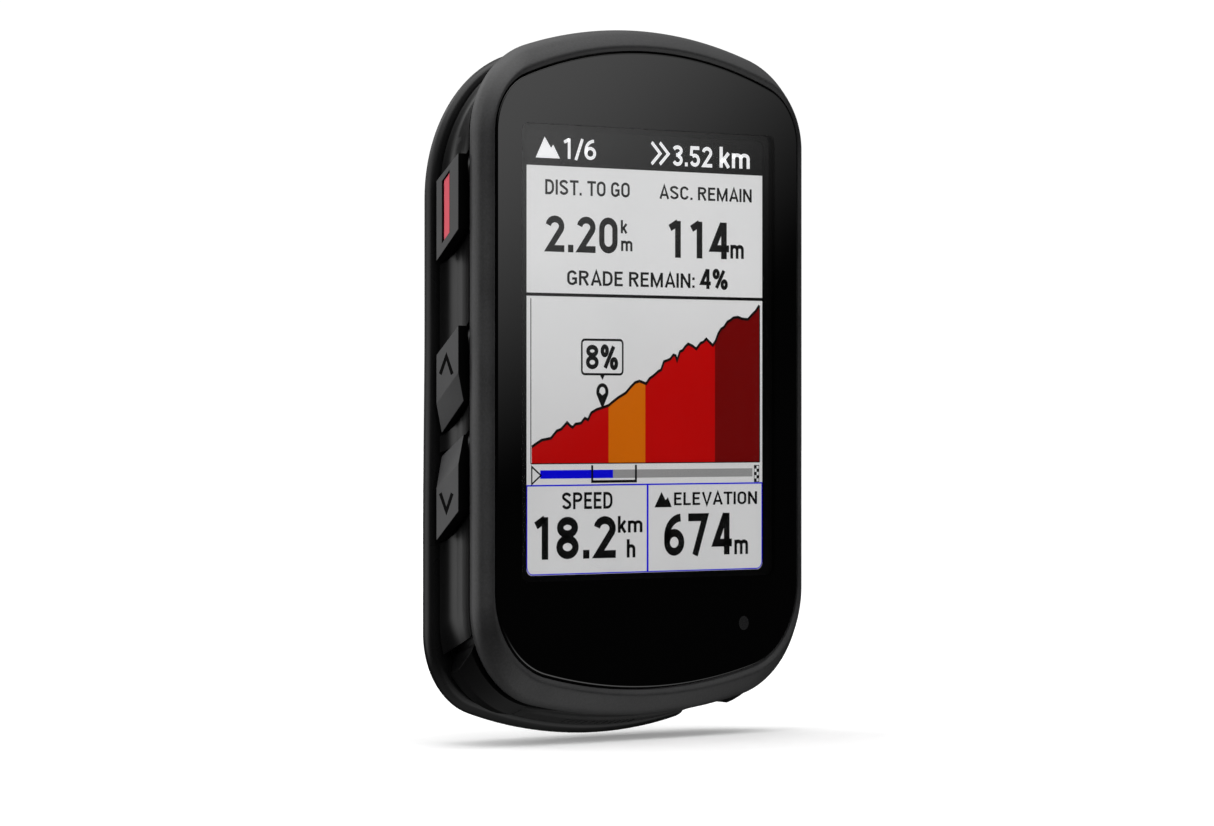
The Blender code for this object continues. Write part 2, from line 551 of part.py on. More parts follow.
# A shallow relief in the rim beside the cap gives a fingernail a way under it.
cut(rear, box("nail_relief", (CAP_X1 + 0.2, y_at(7.0), -47.0 + Z_DISPLAY), (19.2, y_at(12.5), -42.75 + Z_DISPLAY), None))
# The pressure sensor breathes through a small port in the back, behind a membrane.
cut(rear, rod("vent_port", (-18.0, 2.0 + Z_DISPLAY), 0.55, y_at(13.0), -3.0, None, 12))
rod("vent_membrane", (-18.0, 2.0 + Z_DISPLAY), 1.6, y_at(13.15), y_at(13.4), M_MEMBRANE, 18)

# ---- quarter-turn mount insert ------------------------------------------------------------------
def mount_ring(y, kind, shrink=0.0, sides=60):
    row = []
    for i in range(sides):
        a = 2 * math.pi * (i + 0.5) / sides
        r = MOUNT_NECK_R
        if kind == "tabs":
            r = MOUNT_TAB_R if abs(math.sin(a)) > math.sin(math.radians(58)) else MOUNT_RIM_R
        r -= shrink
        row.append(Vector((r * math.cos(a), y, r * math.sin(a))) * MM)
    return row


insert = loft("mount_insert", [
    mount_ring(BACK_Y + GAP, "neck"),
    mount_ring(-MOUNT_TAB_T, "neck"),
    mount_ring(-MOUNT_TAB_T, "tabs"),
    mount_ring(-0.35, "tabs"),
    mount_ring(0.0, "tabs", 0.35),
], M_MOUNT)
for sx in (-1, 1):
    side = "left" if sx < 0 else "right"
    cut(insert, rod("insert_bore_" + side, (sx * 7.5, 0.0), 1.1, -5.0, 1.0, None, 14))
    cut(insert, rod("insert_sink_" + side, (sx * 7.5, 0.0), 2.1, -1.5, 1.0, None, 18))
    screw = rod("mount_screw_" + side, (sx * 7.5, 0.0), 1.75, -1.2, -0.35, M_SCREW, 18)
    join(screw, rod("insert_shank_" + side, (sx * 7.5, 0.0), 0.8, -5.15, -1.0, None, 12))
    cut(screw, rod("insert_drive_" + side, (sx * 7.5, 0.0), 0.7, -0.8, 0.2, None, 6))
    cut(rear, rod("insert_thread_" + side, (sx * 7.5, 0.0), 1.1, -6.2, -3.0, None, 14))
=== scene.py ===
"""Looks for the handlebar cycling computer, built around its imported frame. Lengths are millimetres times MM."""
import json
import math

import bmesh
import bpy
from mathutils import Matrix, Vector

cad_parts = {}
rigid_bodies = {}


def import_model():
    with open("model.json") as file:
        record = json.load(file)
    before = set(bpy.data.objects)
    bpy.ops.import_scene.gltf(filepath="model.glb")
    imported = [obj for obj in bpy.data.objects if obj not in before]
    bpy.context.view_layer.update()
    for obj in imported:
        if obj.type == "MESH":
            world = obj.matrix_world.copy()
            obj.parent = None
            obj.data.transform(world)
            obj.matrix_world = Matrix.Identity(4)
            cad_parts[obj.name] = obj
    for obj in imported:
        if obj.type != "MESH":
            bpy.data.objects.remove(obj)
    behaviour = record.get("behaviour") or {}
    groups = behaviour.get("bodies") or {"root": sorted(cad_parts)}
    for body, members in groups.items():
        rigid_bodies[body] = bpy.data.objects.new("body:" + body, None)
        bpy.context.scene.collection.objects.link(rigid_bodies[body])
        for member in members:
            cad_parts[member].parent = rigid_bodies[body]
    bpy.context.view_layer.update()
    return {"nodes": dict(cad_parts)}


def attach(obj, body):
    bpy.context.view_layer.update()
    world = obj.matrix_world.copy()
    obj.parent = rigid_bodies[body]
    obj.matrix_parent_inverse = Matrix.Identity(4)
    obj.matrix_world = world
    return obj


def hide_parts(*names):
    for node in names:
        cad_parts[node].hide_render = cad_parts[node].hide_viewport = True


for stale in list(bpy.data.objects):
    bpy.data.objects.remove(stale, do_unlink=True)

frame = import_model()

MM = 0.001
Z_DISPLAY = -2.9
Y_LENS = -19.5
BACK_Y = -4.0
GAP = 0.3
KEY_FACE = 28.2
POCKET = 25.85
CORNER = (17.0, -31.9)
MOUNT_NECK_R, MOUNT_TAB_R, MOUNT_RIM_R, MOUNT_TAB_T = 12.5, 15.5, 12.95, 1.8
SCREWS_TOP, SCREWS_LOW = (17.3, 24.0), (11.5, -35.0)
CAP_X0, CAP_X1 = -16.0, 13.4

N_ARC, N_CORNER, N_SIDE = 26, 26, 24

# ---- outlines -----------------------------------------------------------------------------
def mix(a, b, t):
    return a + (b - a) * t


def outline(w, top, bottom, r_top, big_top, r_low, big_low, flare=0.0):
    """Closed case outline in (x, z): crowned ends, rounded corners, straight sides."""
    zt = (top - big_top) + math.sqrt((big_top - r_top) ** 2 - (w - r_top) ** 2)
    zb = (bottom + big_low) - math.sqrt((big_low - r_low) ** 2 - (w - r_low) ** 2)
    at = math.atan2(zt - (top - big_top), w - r_top)
    ab = math.atan2(zb - (bottom + big_low), w - r_low)
    half = []
    for i in range(N_ARC):
        a = math.pi / 2 + (at - math.pi / 2) * i / N_ARC
        half.append((big_top * math.cos(a), top - big_top + big_top * math.sin(a)))
    for i in range(N_CORNER):
        a = at * (1 - i / N_CORNER)
        half.append((w - r_top + r_top * math.cos(a), zt + r_top * math.sin(a)))
    for i in range(N_SIDE):
        half.append((w, zt + (zb - zt) * i / N_SIDE))
    for i in range(N_CORNER):
        a = ab * i / N_CORNER
        half.append((w - r_low + r_low * math.cos(a), zb + r_low * math.sin(a)))
    for i in range(N_ARC + 1):
        a = ab + (-math.pi / 2 - ab) * i / N_ARC
        half.append((big_low * math.cos(a), bottom + big_low + big_low * math.sin(a)))
    half[-1] = (0.0, bottom)
    half[0] = (0.0, top)
    if flare:
        bent = []
        for x, z in half:
            t = min(1.0, max(0.0, (-z + 4.0) / 26.0))
            bent.append((x + flare * t * t * (3 - 2 * t) * min(1.0, x / w), z))
        half = bent
    return half + [(-x, z) for x, z in reversed(half[1:-1])]


def lens_line(grow=0.0):
    """Outline of the cover lens, grown outwards."""
    return outline(25.5 + grow, 36.1 + grow, -40.0 - grow, 7 + grow, 62 + grow, 10.3 + grow, 77 + grow)


def bezel_line(w, top, bottom):
    """Outline on the bezel between the lens edge and the widest roll."""
    t = (w - 25.5) / (27.4 - 25.5)
    return outline(w, top, bottom, mix(7, 11.7, t), mix(62, 70, t), mix(10.3, 12, t), mix(77, 88, t))


def waist_line(w, top, bottom, t, low=11.6):
    """Outline of the middle frame: like the bezel at t 0 and like the rear cover at t 1."""
    return outline(w, top, bottom, mix(11, 17.5, t), mix(70, 54, t), mix(low, 10, t), mix(88, 70, t))


def rear_line(w, top, bottom, r_top=18.0, r_low=10.0, flare=0.0):
    return outline(w, top, bottom, r_top, 53, r_low, 69, flare)


def reach(line, cx, cz, a):
    """Distance from (cx, cz) out to an outline in the direction a."""
    c, s = math.cos(a), math.sin(a)
    best = 0.0
    for i in range(len(line)):
        (x0, z0), (x1, z1) = line[i], line[(i + 1) % len(line)]
        dx, dz = x1 - x0, z1 - z0
        den = c * dz - s * dx
        if abs(den) < 1e-12:
            continue
        r = ((x0 - cx) * dz - (z0 - cz) * dx) / den
        k = ((x0 - cx) * s - (z0 - cz) * c) / den
        if r > best and -1e-9 <= k <= 1 + 1e-9:
            best = r
    return best


def y_at(depth):
    """World y of a depth behind the lens's front face."""
    return Y_LENS + depth


def ring(line, y):
    return [Vector((x, y, z + Z_DISPLAY)) * MM for x, z in line]


# Sections as (half width, top, bottom, depth), from the front edge to the back.
BEZEL_ROWS = [
    (25.75, 36.35, -40.3, 0.12), (26.1, 36.85, -40.85, -0.1), (26.4, 37.25, -41.35, 0.1),
    (26.85, 38.0, -42.3, 0.75), (27.25, 38.6, -43.0, 1.4), (27.4, 38.93, -43.4, 2.2),
    (27.15, 38.73, -43.25, 2.9), (26.75, 38.3, -42.9, 3.25),
]
# The middle frame's rows carry the blend between the two outlines before the depth.
WAIST_ROWS = [
    (26.75, 38.2, -42.75, 0.0, 3.55), (26.55, 37.8, -42.65, 0.15, 4.2), (26.4, 37.2, -42.8, 0.5, 5.6),
    (26.4, 36.8, -43.2, 0.8, 6.5), (26.6, 36.75, -43.7, 0.95, 7.15), (27.05, 36.95, -44.3, 1.0, 7.55),
    (27.5, 37.2, -44.75, 1.0, 7.75),
]
LIP_ROWS = [
    (27.7, 37.3, -44.8, 0.2, 8.05), (28.2, 37.7, -45.2, 0.25, 8.3), (28.4, 37.88, -45.6, 0.25, 9.0),
    (28.0, 37.7, -45.85, 0.25, 9.8), (27.1, 37.0, -45.7, 0.2, 10.7),
]


def corner_shell(sign, front, rear, lo, hi, steps, inner, outer, slant, lean=0.0):
    """Rings of a block that wraps a lower corner, from angle lo at the side to hi at the bottom.

    outer lists (depth, how far beyond the case's own outline); inner is the radius inside.
    slant is how much the upper end falls back, in radians for each millimetre of depth, and
    lean how much both ends draw in for each millimetre further out.
    """
    cx, cz = CORNER
    line = bezel_line(27.4, 38.93, -43.4)
    rows = []
    for i in range(steps + 1):
        t = i / steps
        row = []
        for d, extra in [(front, None), (rear, None)] + outer[::-1]:
            beyond = -0.85 if extra is None else extra
            a = mix(lo - slant * (d - front) - lean * beyond, hi + lean * max(0.0, beyond), t)
            r = inner if extra is None else reach(line, cx, cz, a) + extra
            row.append(Vector((sign * (cx + r * math.cos(a)), y_at(d), cz + r * math.sin(a) + Z_DISPLAY)) * MM)
        rows.append(row)
    return rows


def low_arc(x, bottom, radius):
    return bottom + radius - math.sqrt(radius * radius - x * x)

# ---- camera ---------------------------------------------------------------------------------
cam_data = bpy.data.cameras.new("camera")
cam_data.lens = 152.75
cam_data.sensor_width = 36.0
cam_data.shift_y = 0.0041
cam_data.clip_start, cam_data.clip_end = 0.01, 100.0
camera = bpy.data.objects.new("camera", cam_data)
camera.location = (-0.4384, -0.4563, -0.01058)
camera.rotation_euler = (math.radians(90), 0, math.radians(-44.61))
bpy.context.scene.collection.objects.link(camera)
bpy.context.scene.camera = camera
bpy.context.scene.view_settings.view_transform = "Standard"


# ---- studio: a soft room, and a plain pale floor ----------------------------------------------
def direction(azimuth, elevation):
    """Unit vector. Azimuth 0 is towards -Y and grows towards +X, in degrees."""
    a, e = math.radians(azimuth), math.radians(elevation)
    return (math.sin(a) * math.cos(e), -math.cos(a) * math.cos(e), math.sin(e))


def build_world():
    world = bpy.data.worlds.new("studio")
    bpy.context.scene.world = world
    world.use_nodes = True
    nt = world.node_tree
    nt.nodes.clear()
    add = nt.nodes.new
    link = nt.links.new
    coord = add("ShaderNodeTexCoord")
    norm = add("ShaderNodeVectorMath")
    norm.operation = "NORMALIZE"
    link(coord.outputs["Generated"], norm.inputs[0])
    split = add("ShaderNodeSeparateXYZ")
    link(norm.outputs[0], split.inputs[0])

    def lamp(azimuth, elevation, inner, outer, level):
        """A round soft lamp on the sky: full inside the inner angle, gone past the outer one."""
        dot = add("ShaderNodeVectorMath")
        dot.operation = "DOT_PRODUCT"
        dot.inputs[1].default_value = direction(azimuth, elevation)
        link(norm.outputs[0], dot.inputs[0])
        arc = add("ShaderNodeMath")
        arc.operation = "ARCCOSINE"
        link(dot.outputs["Value"], arc.inputs[0])
        fade = add("ShaderNodeMapRange")
        fade.interpolation_type = "SMOOTHSTEP"
        fade.inputs["From Min"].default_value = math.radians(outer)
        fade.inputs["From Max"].default_value = math.radians(inner)
        fade.inputs["To Min"].default_value = 0.0
        fade.inputs["To Max"].default_value = level
        link(arc.outputs[0], fade.inputs["Value"])
        return fade.outputs[0]

    parts = [lamp(*spec) for spec in LAMPS]
    sky = add("ShaderNodeMapRange")
    sky.interpolation_type = "SMOOTHSTEP"
    for key, value in zip(("From Min", "From Max", "To Min", "To Max"), SKY):
        sky.inputs[key].default_value = value
    link(split.outputs["Z"], sky.inputs["Value"])
    total = sky.outputs[0]
    for part in parts:
        plus = add("ShaderNodeMath")
        plus.operation = "ADD"
        link(total, plus.inputs[0])
        link(part, plus.inputs[1])
        total = plus.outputs[0]
    light = add("ShaderNodeBackground")
    light.inputs["Color"].default_value = (1, 1, 1, 1)
    link(total, light.inputs["Strength"])
    plain = add("ShaderNodeBackground")
    plain.inputs["Color"].default_value = (1, 1, 1, 1)
    plain.inputs["Strength"].default_value = BACKDROP
    path = add("ShaderNodeLightPath")
    both = add("ShaderNodeMixShader")
    out = add("ShaderNodeOutputWorld")
    link(path.outputs["Is Camera Ray"], both.inputs[0])
    link(light.outputs[0], both.inputs[1])
    link(plain.outputs[0], both.inputs[2])
    link(both.outputs[0], out.inputs["Surface"])


LAMPS = [
    (34.6, 13.6, 13.0, 17.0, 0.74),     # front softbox, whose soft edge lies across the lens
    (240.0, 3.0, 16.0, 46.0, 1.6),     # strip behind the left side
    (205.0, 40.0, 8.0, 28.0, 1.1),      # its upper end, which the shoulder catches
    (285.0, 55.0, 10.0, 40.0, 0.45),    # high fill on the left
    (0.0, 90.0, 20.0, 45.0, 1.9),       # overhead light on the floor
    (40.0, -50.0, 14.0, 42.0, 0.9),     # light thrown back up by the floor in front
    (0.0, -90.0, 20.0, 60.0, 0.25),     # and from right below
    (186.0, 26.0, 10.0, 36.0, 0.8),     # softbox behind, for the back
]
SKY = (0.12, 0.85, 0.01, 0.54)
BACKDROP = 1.05
build_world()


def material(name):
    mat = bpy.data.materials.new(name)
    mat.use_nodes = True
    nt = mat.node_tree
    return mat, nt, nt.nodes["Principled BSDF"]


def noise(nt, size_mm, detail=2.0, rough=0.5, stretch=None):
    """Noise whose features are about size_mm across, in the frame's own metres."""
    coord = nt.nodes.new("ShaderNodeTexCoord")
    source = coord.outputs["Object"]
    if stretch is not None:
        mapping = nt.nodes.new("ShaderNodeMapping")
        mapping.inputs["Scale"].default_value = stretch
        nt.links.new(source, mapping.inputs["Vector"])
        source = mapping.outputs["Vector"]
    tex = nt.nodes.new("ShaderNodeTexNoise")
    tex.inputs["Scale"].default_value = 1.0 / (size_mm * MM)
    tex.inputs["Detail"].default_value = detail
    tex.inputs["Roughness"].default_value = rough
    nt.links.new(source, tex.inputs["Vector"])
    return tex.outputs["Fac"]


def ramp(nt, source, stops):
    node = nt.nodes.new("ShaderNodeValToRGB")
    els = node.color_ramp.elements
    while len(els) < len(stops):
        els.new(0.5)
    for el, (pos, colour) in zip(els, stops):
        el.position = pos
        el.color = (*colour, 1.0)
    nt.links.new(source, node.inputs["Fac"])
    return node.outputs["Color"]


def spread(nt, source, low, high, lo=0.3, hi=0.7):
    node = nt.nodes.new("ShaderNodeMapRange")
    node.inputs["From Min"].default_value = lo
    node.inputs["From Max"].default_value = hi
    node.inputs["To Min"].default_value = low
    node.inputs["To Max"].default_value = high
    nt.links.new(source, node.inputs["Value"])
    return node.outputs[0]


def tone(colour, k):
    return tuple(min(1.0, c * k) for c in colour)


def plastic(name, colour, rough, grain=0.18, height=0.006, vary=0.12, rough_vary=0.06,
            broad=9.0, coat=0.0, coat_rough=0.1, metallic=0.0, specular=0.5, stretch=None, detail=3.0):
    """Moulded or coated surface: fine grain in colour and bump, slow drift in gloss."""
    mat, nt, bsdf = material(name)
    fine = noise(nt, grain, detail, 0.6, stretch)
    slow = noise(nt, broad, 3.0, 0.55)
    mixed = nt.nodes.new("ShaderNodeMath")
    mixed.operation = "MULTIPLY_ADD"
    mixed.inputs[1].default_value = 0.45
    nt.links.new(slow, mixed.inputs[0])
    half = nt.nodes.new("ShaderNodeMath")
    half.operation = "MULTIPLY"
    half.inputs[1].default_value = 0.55
    nt.links.new(fine, half.inputs[0])
    nt.links.new(half.outputs[0], mixed.inputs[2])
    nt.links.new(ramp(nt, mixed.outputs[0], [(0.3, tone(colour, 1 - vary)), (0.7, tone(colour, 1 + vary))]),
                 bsdf.inputs["Base Color"])
    nt.links.new(spread(nt, slow, rough - rough_vary, rough + rough_vary), bsdf.inputs["Roughness"])
    if height:
        bump = nt.nodes.new("ShaderNodeBump")
        bump.inputs["Strength"].default_value = 1.0
        bump.inputs["Distance"].default_value = height * MM
        nt.links.new(fine, bump.inputs["Height"])
        nt.links.new(bump.outputs[0], bsdf.inputs["Normal"])
    bsdf.inputs["Metallic"].default_value = metallic
    bsdf.inputs["Specular IOR Level"].default_value = specular
    bsdf.inputs["Coat Weight"].default_value = coat
    bsdf.inputs["Coat Roughness"].default_value = coat_rough
    return mat


def ink(name, colour, glow=0.0):
    """A patch of the reflective screen: a faint dot grid over one colour, with a glow that lifts it to its lit
    brightness and grows towards the top, painted light.
    """
    mat, nt, bsdf = material(name)
    coord = nt.nodes.new("ShaderNodeTexCoord")
    grid = nt.nodes.new("ShaderNodeTexBrick")
    grid.offset = 0.0
    grid.squash = 1.0
    grid.inputs["Scale"].default_value = 1.0 / MM
    grid.inputs["Brick Width"].default_value = 0.163
    grid.inputs["Row Height"].default_value = 0.163
    grid.inputs["Mortar Size"].default_value = 0.012
    grid.inputs["Mortar Smooth"].default_value = 1.0
    grid.inputs["Color1"].default_value = (*tone(colour, 1.01), 1)
    grid.inputs["Color2"].default_value = (*tone(colour, 0.985), 1)
    grid.inputs["Mortar"].default_value = (*tone(colour, 0.93), 1)
    turn = nt.nodes.new("ShaderNodeMapping")
    turn.inputs["Rotation"].default_value = (math.radians(90), 0, 0)
    nt.links.new(coord.outputs["Object"], turn.inputs["Vector"])
    nt.links.new(turn.outputs["Vector"], grid.inputs["Vector"])
    slow = noise(nt, 14.0, 1.0)
    blend = nt.nodes.new("ShaderNodeMixRGB")
    blend.blend_type = "MULTIPLY"
    blend.inputs["Fac"].default_value = 1.0
    nt.links.new(grid.outputs["Color"], blend.inputs["Color1"])
    nt.links.new(ramp(nt, slow, [(0.3, (0.97, 0.97, 0.97)), (0.7, (1, 1, 1))]), blend.inputs["Color2"])
    nt.links.new(blend.outputs[0], bsdf.inputs["Base Color"])
    nt.links.new(spread(nt, slow, 0.42, 0.5), bsdf.inputs["Roughness"])
    bsdf.inputs["Specular IOR Level"].default_value = 0.1
    if glow:
        nt.links.new(blend.outputs[0], bsdf.inputs["Emission Color"])
        # painted light: the glow grows from the bottom of the screen to the top
        up = nt.nodes.new("ShaderNodeSeparateXYZ")
        nt.links.new(coord.outputs["Object"], up.inputs[0])
        nt.links.new(spread(nt, up.outputs["Z"], glow * 1.03, glow * 1.28, -0.0175, 0.0077), bsdf.inputs["Emission Strength"])
    return mat


# ---- finishes -------------------------------------------------------------------------------
BEZEL = plastic("bezel_grained", (0.046, 0.046, 0.047), 0.5, grain=0.3, height=0.022, vary=0.3, broad=7)
WAIST = plastic("waist_gloss", (0.011, 0.011, 0.0112), 0.33, grain=0.4, height=0.0012, vary=0.12, rough_vary=0.03, specular=0.42, coat=0.1, coat_rough=0.25)
REAR = plastic("rear_satin", (0.014, 0.014, 0.0144), 0.3, grain=0.22, height=0.006, vary=0.15, specular=0.25)
KEYS = plastic("key_satin", (0.046, 0.046, 0.0475), 0.46, grain=0.2, height=0.006, vary=0.1)
# Near-black walls for the side keys: painted shade for the gap between key and bezel.
KEY_SIDES_PAINTED_SHADE = plastic("key_side_painted_shade", (0.004, 0.004, 0.004), 0.4, grain=0.2, height=0.003, vary=0.15, specular=0.15)
CORNER_KEYS = plastic("corner_key_satin", (0.004, 0.004, 0.0042), 0.34, grain=0.3, height=0.002, vary=0.1, specular=0.18)
RUBBER = plastic("rubber_black", (0.016, 0.016, 0.016), 0.62, grain=0.12, height=0.01, vary=0.15, specular=0.4)
# Near-black leaves on the key faces: painted shade for the engraved marks' recesses. The hidden cutters use it too.
MARK_PAINTED_SHADE = plastic("mark_recess_painted_shade", (0.0012, 0.0012, 0.0012), 0.7, grain=0.1, height=0.004, vary=0.3, specular=0.05)
RED = plastic("red_anodised", (1.0, 0.11, 0.16), 0.4, grain=0.1, height=0.002, vary=0.05, specular=0.35)
MASK = plastic("mask_ink", (0.0007, 0.0007, 0.0008), 0.7, grain=2.0, height=0.0, vary=0.04, rough_vary=0.05, specular=0.05)
GLUE = plastic("adhesive", (0.012, 0.012, 0.012), 0.75, grain=0.3, height=0.02)
MOUNT = plastic("mount_glass_filled", (0.03, 0.03, 0.031), 0.5, grain=0.35, height=0.012, vary=0.25)
SCREW = plastic("screw_blackened", (0.16, 0.16, 0.165), 0.32, grain=0.08, height=0.003, vary=0.2, metallic=1.0)
STEEL = plastic("shield_steel", (0.56, 0.56, 0.55), 0.34, grain=0.08, height=0.002, vary=0.08, metallic=1.0, stretch=(1, 1, 0.08))
BOARD = plastic("board_soldermask", (0.012, 0.075, 0.04), 0.38, grain=0.5, height=0.006, vary=0.35, coat=0.3)
CERAMIC = plastic("antenna_ceramic", (0.62, 0.56, 0.44), 0.55, grain=0.12, height=0.008)
FOIL = plastic("battery_foil", (0.5, 0.51, 0.53), 0.32, grain=0.6, height=0.02, vary=0.08, metallic=0.85)
FOAM = plastic("foam_cells", (0.05, 0.05, 0.055), 0.95, grain=0.15, height=0.08, vary=0.4)
FLEX = plastic("flex_polyimide", (0.42, 0.2, 0.03), 0.35, grain=0.3, height=0.002, vary=0.12)
SWITCH = plastic("switch_nylon", (0.05, 0.05, 0.052), 0.5, grain=0.2, height=0.006)
PLUNGER = plastic("plunger_nylon", (0.62, 0.6, 0.55), 0.5, grain=0.2, height=0.006)
SENSOR = plastic("sensor_window", (0.006, 0.005, 0.006), 0.12, grain=0.3, height=0.0, vary=0.3, coat=0.5)
MEMBRANE = plastic("membrane_weave", (0.62, 0.62, 0.6), 0.8, grain=0.08, height=0.02, vary=0.12)
LIGHT = plastic("light_guide", (0.75, 0.76, 0.78), 0.3, grain=0.5, height=0.002, vary=0.04)
LCD_EDGE = plastic("lcd_border", (0.0007, 0.0007, 0.0008), 0.6, grain=2.0, height=0.0, vary=0.05, specular=0.05)

GLASS, glass_nt, glass = material("cover_glass")
glass_slow = noise(glass_nt, 16.0, 2.0)
glass_nt.links.new(spread(glass_nt, glass_slow, 0.0, 0.012), glass.inputs["Roughness"])
glass_nt.links.new(ramp(glass_nt, glass_slow, [(0.3, (0.985, 0.99, 0.99)), (0.7, (1, 1, 1))]), glass.inputs["Base Color"])
glass.inputs["Transmission Weight"].default_value = 1.0
glass.inputs["IOR"].default_value = 1.5

# The screen's glow, set high so that it stands in for lamp light on the screen: painted light.
SCREEN_GLOW_PAINTED_LIGHT = 0.92
LCD_PAPER = ink("screen_paper", (0.485, 0.485, 0.487), SCREEN_GLOW_PAINTED_LIGHT)
LCD_BLACK = ink("screen_black", (0.004, 0.004, 0.004))
LCD_WHITE = ink("screen_white", (0.62, 0.62, 0.63), SCREEN_GLOW_PAINTED_LIGHT)
LCD_RED = ink("screen_red", (0.33, 0.0, 0.0), SCREEN_GLOW_PAINTED_LIGHT)
LCD_AMBER = ink("screen_amber", (0.42, 0.092, 0.0), SCREEN_GLOW_PAINTED_LIGHT)
LCD_DARK_RED = ink("screen_dark_red", (0.105, 0.0, 0.0), SCREEN_GLOW_PAINTED_LIGHT)
LCD_BLUE = ink("screen_blue", (0.0, 0.0, 0.46), SCREEN_GLOW_PAINTED_LIGHT)
LCD_GREY = ink("screen_grey", (0.2, 0.2, 0.2), SCREEN_GLOW_PAINTED_LIGHT)


# ---- mesh helpers -----------------------------------------------------------------------------
def piece(name, bm, mat, body="housing", stands_for=(), smooth=35):
    bmesh.ops.recalc_face_normals(bm, faces=bm.faces)
    mesh = bpy.data.meshes.new(name)
    bm.to_mesh(mesh)
    bm.free()
    if smooth:
        mesh.shade_smooth()
        mesh.set_sharp_from_angle(angle=math.radians(smooth))
    obj = bpy.data.objects.new(name, mesh)
    bpy.context.scene.collection.objects.link(obj)
    mesh.materials.append(mat)
    if body:
        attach(obj, body)
    if stands_for:
        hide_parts(*stands_for)
    return obj


def skin(rings, closed=False):
    bm = bmesh.new()
    rows = [[bm.verts.new(p) for p in r] for r in rings]
    pairs = list(zip(rows, rows[1:]))
    if closed:
        pairs.append((rows[-1], rows[0]))
    for a, b in pairs:
        n = len(a)
        for i in range(n):
            j = (i + 1) % n
            bm.faces.new((a[i], a[j], b[j], b[i]))
    if not closed:
        bm.faces.new(rows[0])
        bm.faces.new(rows[-1])
    return bm


def eased(rows, steps, hard=()):
    """More rows between the given ones, on a smooth curve that may turn sharply at the hard ones."""
    out = []
    floor_of, top_of = [min(c) for c in zip(*rows)], [max(c) for c in zip(*rows)]
    for i in range(len(rows) - 1):
        p1, p2 = rows[i], rows[i + 1]
        p0 = rows[i - 1] if i > 0 and i not in hard else tuple(2 * a - b for a, b in zip(p1, p2))
        p3 = rows[i + 2] if i + 2 < len(rows) and (i + 1) not in hard else tuple(2 * b - a for a, b in zip(p1, p2))
        for k in range(steps):
            t = k / steps
            row = [0.5 * (2 * b + (c - a) * t + (2 * a - 5 * b + 4 * c - d) * t * t + (3 * b - a - 3 * c + d) * t ** 3)
                   for a, b, c, d in zip(p0, p1, p2, p3)]
            out.append(tuple(min(high, max(low, v)) for v, low, high in zip(row, floor_of, top_of)))
    out.append(rows[-1])
    return out


def paint_side_shade(obj, shade_mat):
    """Gives the faces that don't look outwards along X a second, near-black finish: painted shade for the shadowed gap
    around the key.
    """
    obj.data.materials.append(shade_mat)
    for face in obj.data.polygons:
        if abs(face.normal.x) < 0.55:
            face.material_index = 1


def bevel(obj, width, segments=3, angle=35):
    mod = obj.modifiers.new("edge", "BEVEL")
    mod.width = width * MM
    mod.segments = segments
    mod.limit_method = "ANGLE"
    mod.angle_limit = math.radians(angle)
    mod.harden_normals = False
    return obj


def block(lo, hi, matrix=None):
    bm = bmesh.new()
    bmesh.ops.create_cube(bm, size=1.0)
    for v in bm.verts:
        v.co = Vector([(lo[k] + hi[k]) / 2 + v.co[k] * (hi[k] - lo[k]) for k in range(3)])
        if matrix is not None:
            v.co = matrix @ v.co
        v.co *= MM
    return bm


def disc(centre, radius, y0, y1, sides=48, radius_end=None):
    rings = []
    for y, r in ((y0, radius), (y1, radius if radius_end is None else radius_end)):
        rings.append([Vector((centre[0] + r * math.cos(2 * math.pi * i / sides), y,
                              centre[1] + r * math.sin(2 * math.pi * i / sides))) * MM for i in range(sides)])
    return skin(rings)


def tool(name, bm):
    """A cutter, which isn't shown and isn't kept."""
    obj = piece(name, bm, MARK_PAINTED_SHADE, body=None, smooth=0)
    obj.hide_render = True
    return obj


def carve(obj, cutters, operation="DIFFERENCE"):
    """Applies Booleans and drops the cutters."""
    for cutter in cutters:
        mod = obj.modifiers.new(cutter.name, "BOOLEAN")
        mod.operation = operation
        mod.object = cutter
        mod.solver = "EXACT"
    graph = bpy.context.evaluated_depsgraph_get()
    mesh = bpy.data.meshes.new_from_object(obj.evaluated_get(graph))
    obj.modifiers.clear()
    old = obj.data
    obj.data = mesh
    bpy.data.meshes.remove(old)
    mesh.shade_smooth()
    mesh.set_sharp_from_angle(angle=math.radians(35))
    for cutter in cutters:
        bpy.data.objects.remove(cutter, do_unlink=True)
    return obj


# ---- bezel and lens -----------------------------------------------------------------------------
bezel_rings = [ring(bezel_line(w, t, b), y_at(d)) for w, t, b, d in eased(BEZEL_ROWS, 5, hard=(0, 7))]
bezel_rings += [ring(lens_line(g), y_at(d)) for g, d in ((-0.6, 3.25), (-0.6, 2.6), (-3.0, 2.6), (-3.0, 1.9), (0.25, 1.9))]
piece("bezel_shell", skin(bezel_rings, closed=True), BEZEL, stands_for=["front_bezel"], smooth=40)

BORDER, border_nt, border = material("lens_black_border")
border_slow = noise(border_nt, 16.0, 2.0)
border_nt.links.new(spread(border_nt, border_slow, 0.004, 0.02), border.inputs["Roughness"])
border_nt.links.new(ramp(border_nt, border_slow, [(0.3, (0.0005, 0.0005, 0.0006)), (0.7, (0.0007, 0.0007, 0.0007))]), border.inputs["Base Color"])
border.inputs["Specular IOR Level"].default_value = 0.96


def window_line(w, h, r, n=8):
    pts = []
    for cx, cz, a0 in ((w - r, h - r, 90), (w - r, -h + r, 0), (-w + r, -h + r, -90), (-w + r, h - r, -180)):
        for i in range(n + 1):
            a = math.radians(a0 - 90 * i / n)
            pts.append((cx + r * math.cos(a), cz + r * math.sin(a)))
    return pts


